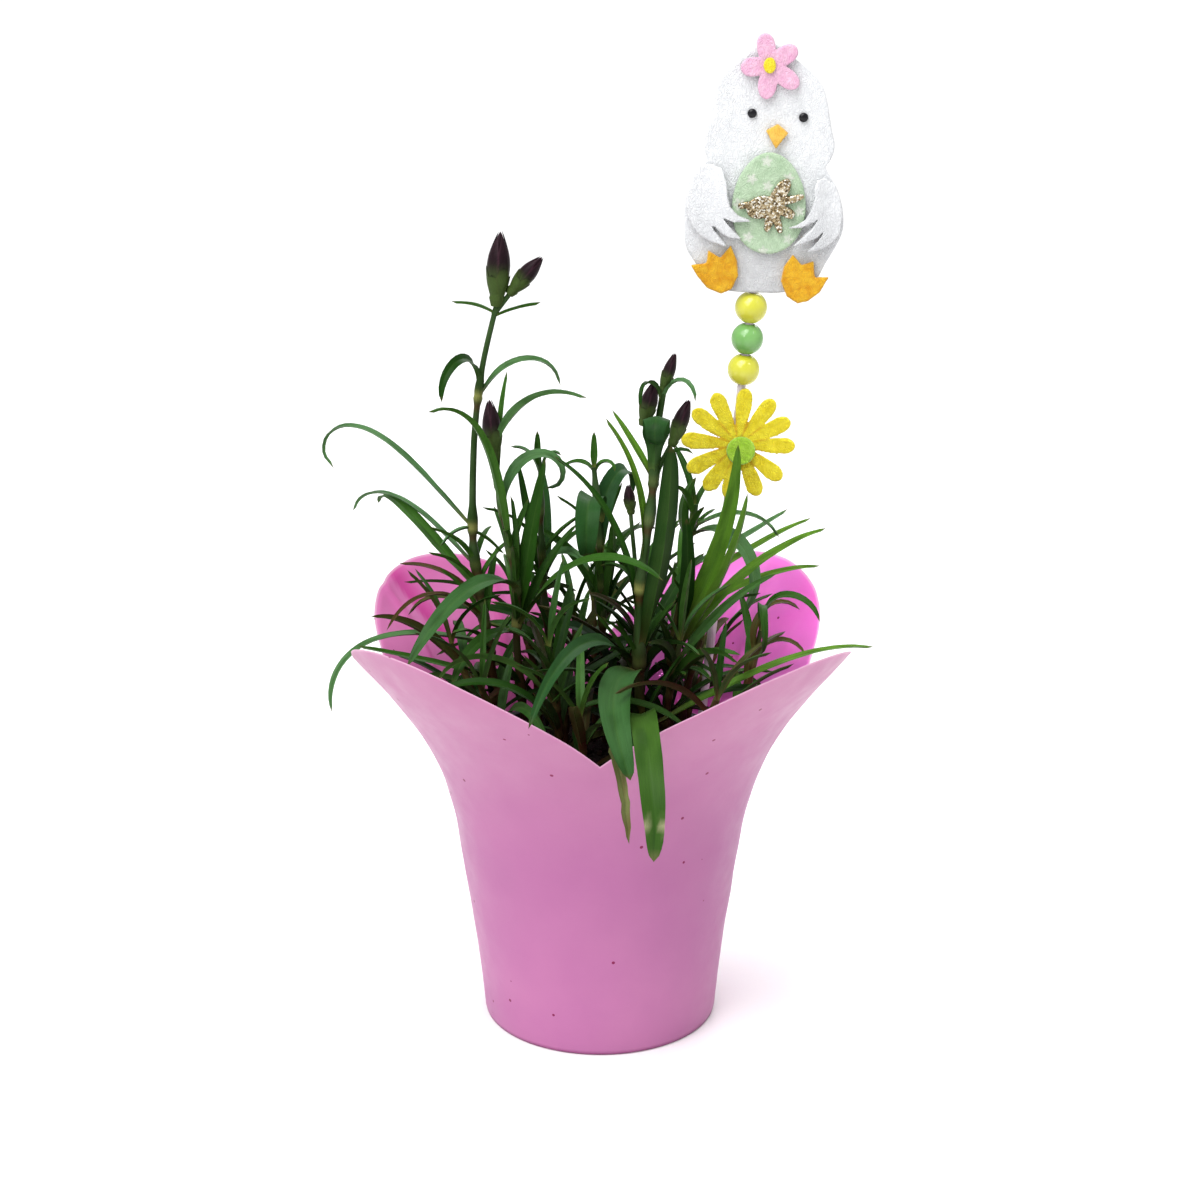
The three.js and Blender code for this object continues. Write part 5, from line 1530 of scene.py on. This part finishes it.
# %% Felt blanks
def facing(points):
    area = sum(a[0] * b[1] - b[0] * a[1] for a, b in zip(points, points[1:] + points[:1]))
    return points if area > 0 else points[::-1]


def inset(points, depth):
    made = []
    count = len(points)
    for i, here in enumerate(points):
        before, after = Vector(points[i - 1]), Vector(points[(i + 1) % count])
        run = (after - before).normalized()
        made.append((here[0] - run[1] * depth, here[1] + run[0] * depth))
    return made


def felt_blank(blank, outline, x, z, back, thickness):
    """Adds a plate with soft edges to a bmesh. The outline is seen from the front."""
    outline = facing(outline)
    drawn = inset(outline, min(0.35, thickness / 4))
    layers = [(drawn, back), (outline, back - thickness * 0.25), (outline, back - thickness * 0.75),
              (drawn, back - thickness)]
    rows = [[blank.verts.new((x + u, y, z + v)) for u, v in ring] for ring, y in layers]
    for low, high in zip(rows, rows[1:]):
        for j in range(len(outline)):
            after = (j + 1) % len(outline)
            blank.faces.new((low[j], low[after], high[after], high[j]))
    blank.faces.new(rows[0][::-1])
    blank.faces.new(rows[-1])


# %% Even cells
def remeshed(name, blank, cell):
    bmesh.ops.triangulate(blank, faces=[face for face in blank.faces if len(face.verts) > 4])
    bmesh.ops.recalc_face_normals(blank, faces=blank.faces)
    rough = bpy.data.meshes.new(name + "_blank")
    blank.to_mesh(rough)
    blank.free()
    carrier = bpy.data.objects.new(name + "_blank", rough)
    scene.collection.objects.link(carrier)
    even = carrier.modifiers.new("even_cells", "REMESH")
    even.mode = "VOXEL"
    even.voxel_size = cell
    ready = carrier.evaluated_get(bpy.context.evaluated_depsgraph_get())
    mesh = bpy.data.meshes.new_from_object(ready)
    mesh.name = name
    bpy.data.objects.remove(carrier)
    bpy.data.meshes.remove(rough)
    return mesh


# %% Felt pieces
def felt_piece(name, plates, material, nodes, cell=0.45, lump=0.1, bend=None, colour_at=None):
    blank = bmesh.new()
    for plate in plates:
        felt_blank(blank, *plate)
    mesh = remeshed(name, blank, cell)
    count = len(mesh.vertices)
    places = np.zeros(count * 3, np.float32)
    normals = np.zeros(count * 3, np.float32)
    mesh.vertices.foreach_get("co", places)
    mesh.vertices.foreach_get("normal", normals)
    places, normals = places.reshape(-1, 3), normals.reshape(-1, 3)
    paints = np.ones((count, 4), np.float32)
    for k in range(count):
        x, y, z = (float(c) for c in places[k])
        fuzz = lump * (ripple(x, y, z, 1.1, 4.0) + 0.5 * ripple(x, y, z, 3.2, 9.0))
        if colour_at:
            paints[k] = colour_at(x, y, z)
        places[k] += normals[k] * fuzz
        if bend:
            places[k][1] += bend(x, z)
    mesh.vertices.foreach_set("co", (places * MM).ravel())
    mesh.attributes.new("paint", "FLOAT_COLOR", "POINT").data.foreach_set("color", paints.ravel())
    mesh.shade_smooth()
    return finish_piece(bpy.data.objects.new(name, mesh), material, nodes)


# %% Felt finish
def felt_finish(name, dark, light, painted=False):
    material, tree, shader = new_finish(name, Roughness=0.96, Sheen_Weight=0.35,
                                        Sheen_Roughness=0.5, Specular_IOR_Level=0.15)
    matting = grain(tree, 420.0, 6.0)
    waves = {"Vector": on_object(tree), "Scale": 260.0, "Distortion": 14.0, "Detail": 4.0,
             "Detail Scale": 2.5}
    fibre = node(tree, "TexWave", waves).outputs["Fac"]
    colour = shades(tree, matting, (0.28, dark), (0.68, light))
    if painted:
        colour = tinted(tree, colour, attribute(tree, "paint"))
    colour = tinted(tree, colour, shades(tree, fibre, (0.0, grey(0.93)), (1.0, grey(1.0))))
    tree.links.new(colour, shader.inputs["Base Color"])
    raise_grain(tree, shader, maths(tree, "ADD", matting, fibre), 0.5, 0.0005)
    return material


# %% [markdown]
# ## Daisy
# The daisy is one cut of yellow felt with twelve long petals and a lime disc glued on its middle.

# %% Daisy
# Directions of the petals, cut by hand and not quite even.
DAISY_PETALS = [-2, 25, 52, 83, 115, 143, 175, 208, 236, 261, 292, 321]
# Half width of a petal at distances from the middle.
PETAL_SIDE = [(6.5, 1.5), (8, 1.9), (10, 2.2), (12, 2.44), (14, 2.64), (15.6, 2.74), (17, 2.5),
              (18.2, 1.85), (18.9, 1.0)]
# The glue between two pieces of felt, or between felt and stick.
GLUE = 0.3
pick_front = STICK_Y - STICK_RADIUS - GLUE


def turned_point(u, v, turn):
    return (u * math.cos(turn) - v * math.sin(turn), u * math.sin(turn) + v * math.cos(turn))


def beside_slit(side, between):
    """The side of a petal, held back from the slit to its neighbour."""
    return [(u, min(v, u * math.tan(math.radians(between) / 2) - 0.14)) for u, v in side]


def daisy_outline():
    outline = []
    turns = [DAISY_PETALS[-1] - 360] + DAISY_PETALS + [DAISY_PETALS[0] + 360]
    for before, degrees, after in zip(turns, turns[1:], turns[2:]):
        outline.append(turned_point(5.8, 0, math.radians((degrees + before) / 2)))
        local = [(u, -v) for u, v in beside_slit(PETAL_SIDE, degrees - before)]
        local += [(DAISY_RADIUS, 0)] + beside_slit(PETAL_SIDE, after - degrees)[::-1]
        outline += [turned_point(u, v, math.radians(degrees)) for u, v in local]
    return outline


def daisy_paint(x, y, z):
    """Streaks along each petal, and painted shade in the slits near the middle."""
    u, v = x - DAISY_X, z - DAISY_HEIGHT
    reach, turn = math.hypot(u, v), math.degrees(math.atan2(v, u))
    off = min(abs((turn - degrees + 180) % 360 - 180) for degrees in DAISY_PETALS)
    streak = 1 + 0.1 * ripple(turn / 2.2, reach / 9, 0, 1, 3.0)
    # Painted shade: orange-brown in the slits between the petals near the middle.
    slit = smooth_step(8, 14, off) * smooth_step(12, 7.5, reach)
    return blend((streak, streak, streak, 1.0), (0.8, 0.52, 0.3, 1.0), 0.75 * slit)


def oval(half_width, half_height, count, point=0.0):
    made = []
    for i in range(count):
        angle = 2 * math.pi * i / count
        made.append((half_width * math.cos(angle) * (1 - point * math.sin(angle)),
                     half_height * math.sin(angle)))
    return made


def petal(degrees, root, reach, width, count=20, cut=0.0, taper=0.0):
    turn = math.radians(degrees)
    half = (reach - root) / 2
    made = []
    for u, v in oval(half, width / 2, count):
        v *= 1 + taper * u / half
        if cut and u > half * 0.8:
            u -= cut * (1 - abs(v) / (width / 2))
        made.append(turned_point((root + reach) / 2 + u, v, turn))
    return made


yellow_felt = felt_finish("yellow_felt", paint(218, 198, 12), paint(240, 226, 50), painted=True)
lime_felt = felt_finish("lime_felt", paint(146, 196, 36), paint(178, 222, 72))
on_daisy = pick_front - FELT - GLUE
felt_piece("felt_daisy", [(daisy_outline(), DAISY_X, DAISY_HEIGHT, pick_front, FELT)], yellow_felt,
           ["daisy"], cell=0.3, colour_at=daisy_paint)
disc = (oval(4.8, 4.8, 40), DAISY_X + 0.9, DAISY_HEIGHT - 1.8, on_daisy, 1.5)
felt_piece("felt_daisy_centre", [disc], lime_felt, ["daisy_centre"], cell=0.35)
print("daisy petals:", len(DAISY_PETALS))

# %% [markdown]
# ## Chick
# The chick is built as it is sewn and glued: a white body, a mint egg with pale printed blossoms,
# two wings that hug the egg, orange feet and beak, bead eyes, and a pink flower on the head. The
# wings start flat on the body and bend forward over the egg, and their free feathers stay apart.

# %% Chick's body
CHICK_X, CHICK_Z = 54.5, 251.5
CHICK = [(-2, -0.5), (5.8, -0.4), (14.9, 2.1), (19.3, 9.3), (22.7, 15.2), (24.5, 19.7),
         (24.6, 24.3), (23.8, 28.8), (22.1, 33.6), (19.8, 36.8), (18, 40.3), (20.2, 43.2),
         (21.1, 47), (20.1, 51.6), (19.2, 56.1), (18.4, 60.5), (16.7, 65.5), (13, 69.9), (8, 74),
         (3.3, 77.9), (-0.6, 79), (-5.8, 78), (-9.2, 75), (-13.1, 72), (-15.8, 69.2),
         (-17.5, 65.5), (-18, 60.5), (-18.5, 56.1), (-20.2, 52.7), (-20.9, 48.2), (-20.6, 44.8),
         (-19.6, 43), (-22.3, 40.9), (-24.7, 37.4), (-26.2, 33.6), (-27, 27.8), (-27, 20.9),
         (-26.6, 15.2), (-24.8, 11.4), (-19.8, 4.8), (-14, 0.4)]
on_body = pick_front - FELT - GLUE
on_egg = on_body - FELT - GLUE


def on_chick(points, u=0, v=0, back=on_body, thickness=FELT):
    """A plate of felt whose outline is drawn from the foot of the chick."""
    return points, CHICK_X + u, CHICK_Z + v, back, thickness


def softened(points, steps=4):
    """A closed outline drawn as one smooth curve through its points."""
    made = []
    count = len(points)
    for i in range(count):
        near = [Vector(points[(i + k) % count]) for k in (-1, 0, 1, 2)]
        for s in range(steps):
            made.append(tuple(smooth_through(near, 1 + s / steps)))
    return made


white_felt = felt_finish("white_felt", paint(234, 236, 239), paint(248, 250, 252), painted=True)


def painted_belly_shade(x, y, z):
    """Painted shade low on the belly below the egg, with a faint grey cloud."""
    low = smooth_step(24, 2, z - CHICK_Z)
    cloud = 0.5 + 0.5 * ripple(x, 0, z, 9, 5.0)
    return grey(1 - 0.3 * low * (0.7 + 0.3 * cloud) - 0.03 * cloud)


felt_piece("felt_chick", [on_chick(softened(CHICK), back=pick_front)], white_felt,
           ["chick_body"], cell=0.5, lump=0.06, colour_at=painted_belly_shade)
print("points on the chick's outline:", len(CHICK))

# %% Egg with printed blossoms
EGG_X, EGG_Z = 0.1, 28.8
EGG_HALF = (12, 16.3)
# Blossoms on the egg: right and up from its middle, and size.
BLOSSOMS = [(-1.0, 13.6, 2.0), (-5.7, 7.9, 2.0), (6.2, 8.2, 2.0), (-0.5, 5.7, 1.9),
            (-9.7, -0.1, 2.2), (-6.6, -10.7, 2.0), (-1.6, -15.2, 1.9), (6.4, -11.4, 1.8),
            (9.8, -2.4, 1.9)]
# The factor that turns mint felt into the near white of a blossom.
BLOSSOM_TINT = (1.6, 1.22, 1.64, 1.0)


def egg_paint(x, y, z):
    colour = grey(1.0)
    for u, v, size in BLOSSOMS:
        off_x, off_z = x - CHICK_X - EGG_X - u, z - CHICK_Z - EGG_Z - v
        distance = math.hypot(off_x, off_z)
        star = size * (0.74 + 0.22 * math.cos(5 * math.atan2(off_z, off_x) + u))
        printed = smooth_step(star + 0.4, star - 0.6, distance)
        colour = blend(colour, BLOSSOM_TINT, 0.7 * printed)
    return colour


mint_felt = felt_finish("mint_felt", paint(176, 204, 168), paint(196, 220, 188), painted=True)
felt_piece("felt_egg", [on_chick(oval(*EGG_HALF, 60, 0.1), EGG_X, EGG_Z)], mint_felt,
           ["egg"], cell=0.34, lump=0.08, colour_at=egg_paint)
print("blossoms on the egg:", len(BLOSSOMS))

# %% Wings
WING_LEFT = [(-22.4, 41.2), (-24.9, 37), (-26.1, 33.2), (-26.7, 28.4), (-26, 24.2), (-24.4, 21),
             (-22.1, 18.4), (-18.8, 16.5), (-15.5, 15.6), (-13.3, 15.2), (-14.9, 17.1),
             (-17.8, 20.5), (-21.2, 25.5), (-17.6, 21.7), (-14.9, 19.1), (-12.3, 17.9),
             (-8.8, 17.8), (-11.7, 20.5), (-14.4, 23.4), (-16.4, 26.8), (-13.7, 24.2),
             (-10.8, 23.1), (-5.6, 23.3), (-9.9, 25), (-12.5, 27.8), (-13.5, 31.6), (-13.6, 34.8),
             (-15.3, 40.2), (-19.2, 41.5)]
WING_RIGHT = [(14.5, 33.2), (14.9, 30.7), (13.7, 26.8), (11.9, 23.8), (9, 22), (6.1, 21),
              (10.6, 21.2), (14.2, 23), (17.6, 25.8), (14.6, 21.6), (11.4, 18.4), (7.9, 15.2),
              (12.4, 16.4), (16.3, 18.6), (19.7, 22.3), (17.2, 18), (15, 15.4), (12.5, 13.2),
              (18, 14.2), (21.1, 16.2), (23.3, 18.8), (24.1, 24.6), (23.3, 30), (21.5, 34.6),
              (18, 37), (15.4, 36.4)]


def wing_bend(x, z):
    across = abs(x - CHICK_X)
    return -(FELT + GLUE) * smooth_step(21, 12.5, across) * smooth_step(44, 36, z - CHICK_Z)


# Painted shade: the wing is painted greyer towards its lower feathers over the egg.
def painted_wing_shade(x, y, z):
    return grey(0.97 - 0.14 * smooth_step(34, 14, z - CHICK_Z))


for name, points in (("left", WING_LEFT), ("right", WING_RIGHT)):
    felt_piece("felt_wing_" + name, [on_chick(points)], white_felt, ["wing_" + name],
               cell=0.3, lump=0.05, bend=wing_bend, colour_at=painted_wing_shade)
print("wings bend forward by", FELT + GLUE, "mm")

# %% Feet, beak and head flower
FOOT_LEFT = [(-24.9, 8.9), (-22.9, 5.4), (-19.4, 1.3), (-14.9, -0.5), (-11.5, 1), (-9.4, 5.4),
             (-9.8, 10.3), (-12, 15.2), (-15.3, 11.3), (-19.3, 13.7), (-19.8, 9.5)]
FOOT_RIGHT = [(8.3, 12.3), (5.4, 8.4), (4.6, 3.5), (6.6, -1.4), (10.1, -3.7), (13.6, -2.9),
              (17.4, 0), (20.2, 4.9), (15.6, 4.9), (15.1, 10.1), (11.3, 8.9)]
BEAK = [(-1.4, 51.9), (1.9, 46.2), (5.9, 51.2), (2.5, 54.1)]
FLOWER_X, FLOWER_Z = -0.7, 72.4
# Petals of the flower on the head: direction, reach, and how far the petal is lifted.
HEAD_PETALS = [(101, 10, 0), (31.5, 10.2, 0.5), (-36, 11.6, 0.15), (-95, 10.6, 0.65),
               (186, 9.2, 0.35)]
orange_felt = felt_finish("orange_felt", paint(216, 146, 10), paint(240, 188, 40))
beak_felt = felt_finish("beak_felt", paint(240, 180, 60), paint(252, 206, 96))
pink_felt = felt_finish("pink_felt", paint(236, 172, 208), paint(246, 200, 224))
centre_felt = felt_finish("flower_centre_felt", paint(236, 208, 20), paint(250, 232, 60))
for name, points in (("left", FOOT_LEFT), ("right", FOOT_RIGHT)):
    felt_piece("felt_foot_" + name, [on_chick(points)], orange_felt,
               ["foot_" + name], cell=0.34)
felt_piece("felt_beak", [on_chick(BEAK)], beak_felt, ["beak"], cell=0.34)
flower = [on_chick(petal(degrees, 0.2, reach, 6, taper=0.14), FLOWER_X, FLOWER_Z, on_body - lift,
                   FELT - lift) for degrees, reach, lift in HEAD_PETALS]
felt_piece("felt_head_flower", flower, pink_felt, ["head_flower"], cell=0.3)
felt_piece("felt_head_flower_centre", [on_chick(oval(2, 2.5, 30), FLOWER_X, FLOWER_Z, on_egg, 1)],
           centre_felt, ["head_flower_centre"], cell=0.25, lump=0.08)
print("petals on the head:", len(HEAD_PETALS))

# %% [markdown]
# ## Glitter bow
# The bow is cut from a sheet coated with gold glitter. Each grain is a tiny mirror at its own
# angle. Real geometry gives the coarse crust, and a cell pattern tilts the surface grain by grain.
# The same cells also paint some grains near white and others dark, as painted glints and painted
# shade, so that some flash and others stay dark.

# %% Glitter bow
BOW_X, BOW_Z, BOW_THICK = 1, 28.8, 1.2
BOW_ROOT = -1.4
# Arms: direction, reach, width, depth of the cut in the end.
BOW_ARMS = [(56, 9.6, 4.8, 0), (14, 11.6, 2.5, 1.0), (-29, 9.4, 3.4, 1.4), (-72, 10.6, 2.7, 0.8),
            (-100, 9.6, 2.9, 0.6), (196, 8.6, 7.2, 0), (183, 12.1, 2.6, 1.0)]
glitter, tree, shader = new_finish("gold_glitter", Metallic=0.85, Roughness=0.3)
flakes = node(tree, "TexVoronoi", {"Vector": on_object(tree), "Scale": 1900.0}).outputs["Color"]
# Painted glints and shade: the cells paint grains from dark to near white, besides tilting them.
feed(tree, shader, "Base Color", channel(tree, flakes, "Red"), (0.0, paint(92, 76, 52)),
     (0.35, paint(158, 136, 98)), (0.65, paint(208, 190, 152)), (0.85, paint(255, 252, 240)))
feed(tree, shader, "Roughness", channel(tree, flakes, "Green"), (0.2, grey(0.2)), (0.8, grey(0.5)))
raise_grain(tree, shader, channel(tree, flakes, "Blue"), 1.0, 0.0007)
arms = [on_chick(petal(degrees, BOW_ROOT, reach, width, 28, cut), BOW_X, BOW_Z, on_egg, BOW_THICK)
        for degrees, reach, width, cut in BOW_ARMS]
felt_piece("glitter_bow", arms, glitter, ["bow"], cell=0.24, lump=0.22)
print("arms of the bow:", len(BOW_ARMS))

# %% [markdown]
# ## Eyes
# Each eye is half a black glass bead, pressed into the felt.

# %% Eyes
black_gloss, tree, shader = new_finish("black_gloss", Roughness=0.2, Specular_IOR_Level=0.3)
feed(tree, shader, "Base Color", grain(tree, 500.0),
     (0.3, paint(8, 8, 12)), (0.7, paint(22, 20, 28)))
# Half a bead: radius, and how far that ring stands out of the felt.
EYE = [(1.5, 0), (1.5, 0.2), (1.44, 0.42), (1.3, 0.62), (1.05, 0.8), (0.7, 0.93), (0.35, 0.99)]
out = Vector((0, -1, 0))
for name, x, z in (("left", -5.8, 57.3), ("right", 10.7, 56)):
    eye = Skin()
    centre = Vector((CHICK_X + x, on_body, CHICK_Z + z))
    rings = [round_ring(centre + out * depth, out, radius, 32, grey(0.02)) for radius, depth in EYE]
    rings.append(([centre + out], [grey(0.02)], [(0, 0, 0)]))
    eye.loft(rings)
    skin_piece("bead_eye_" + name, eye, black_gloss, ["eye_" + name], crease=60)
print("eyes:", 2 * EYE[0][0], "mm across")
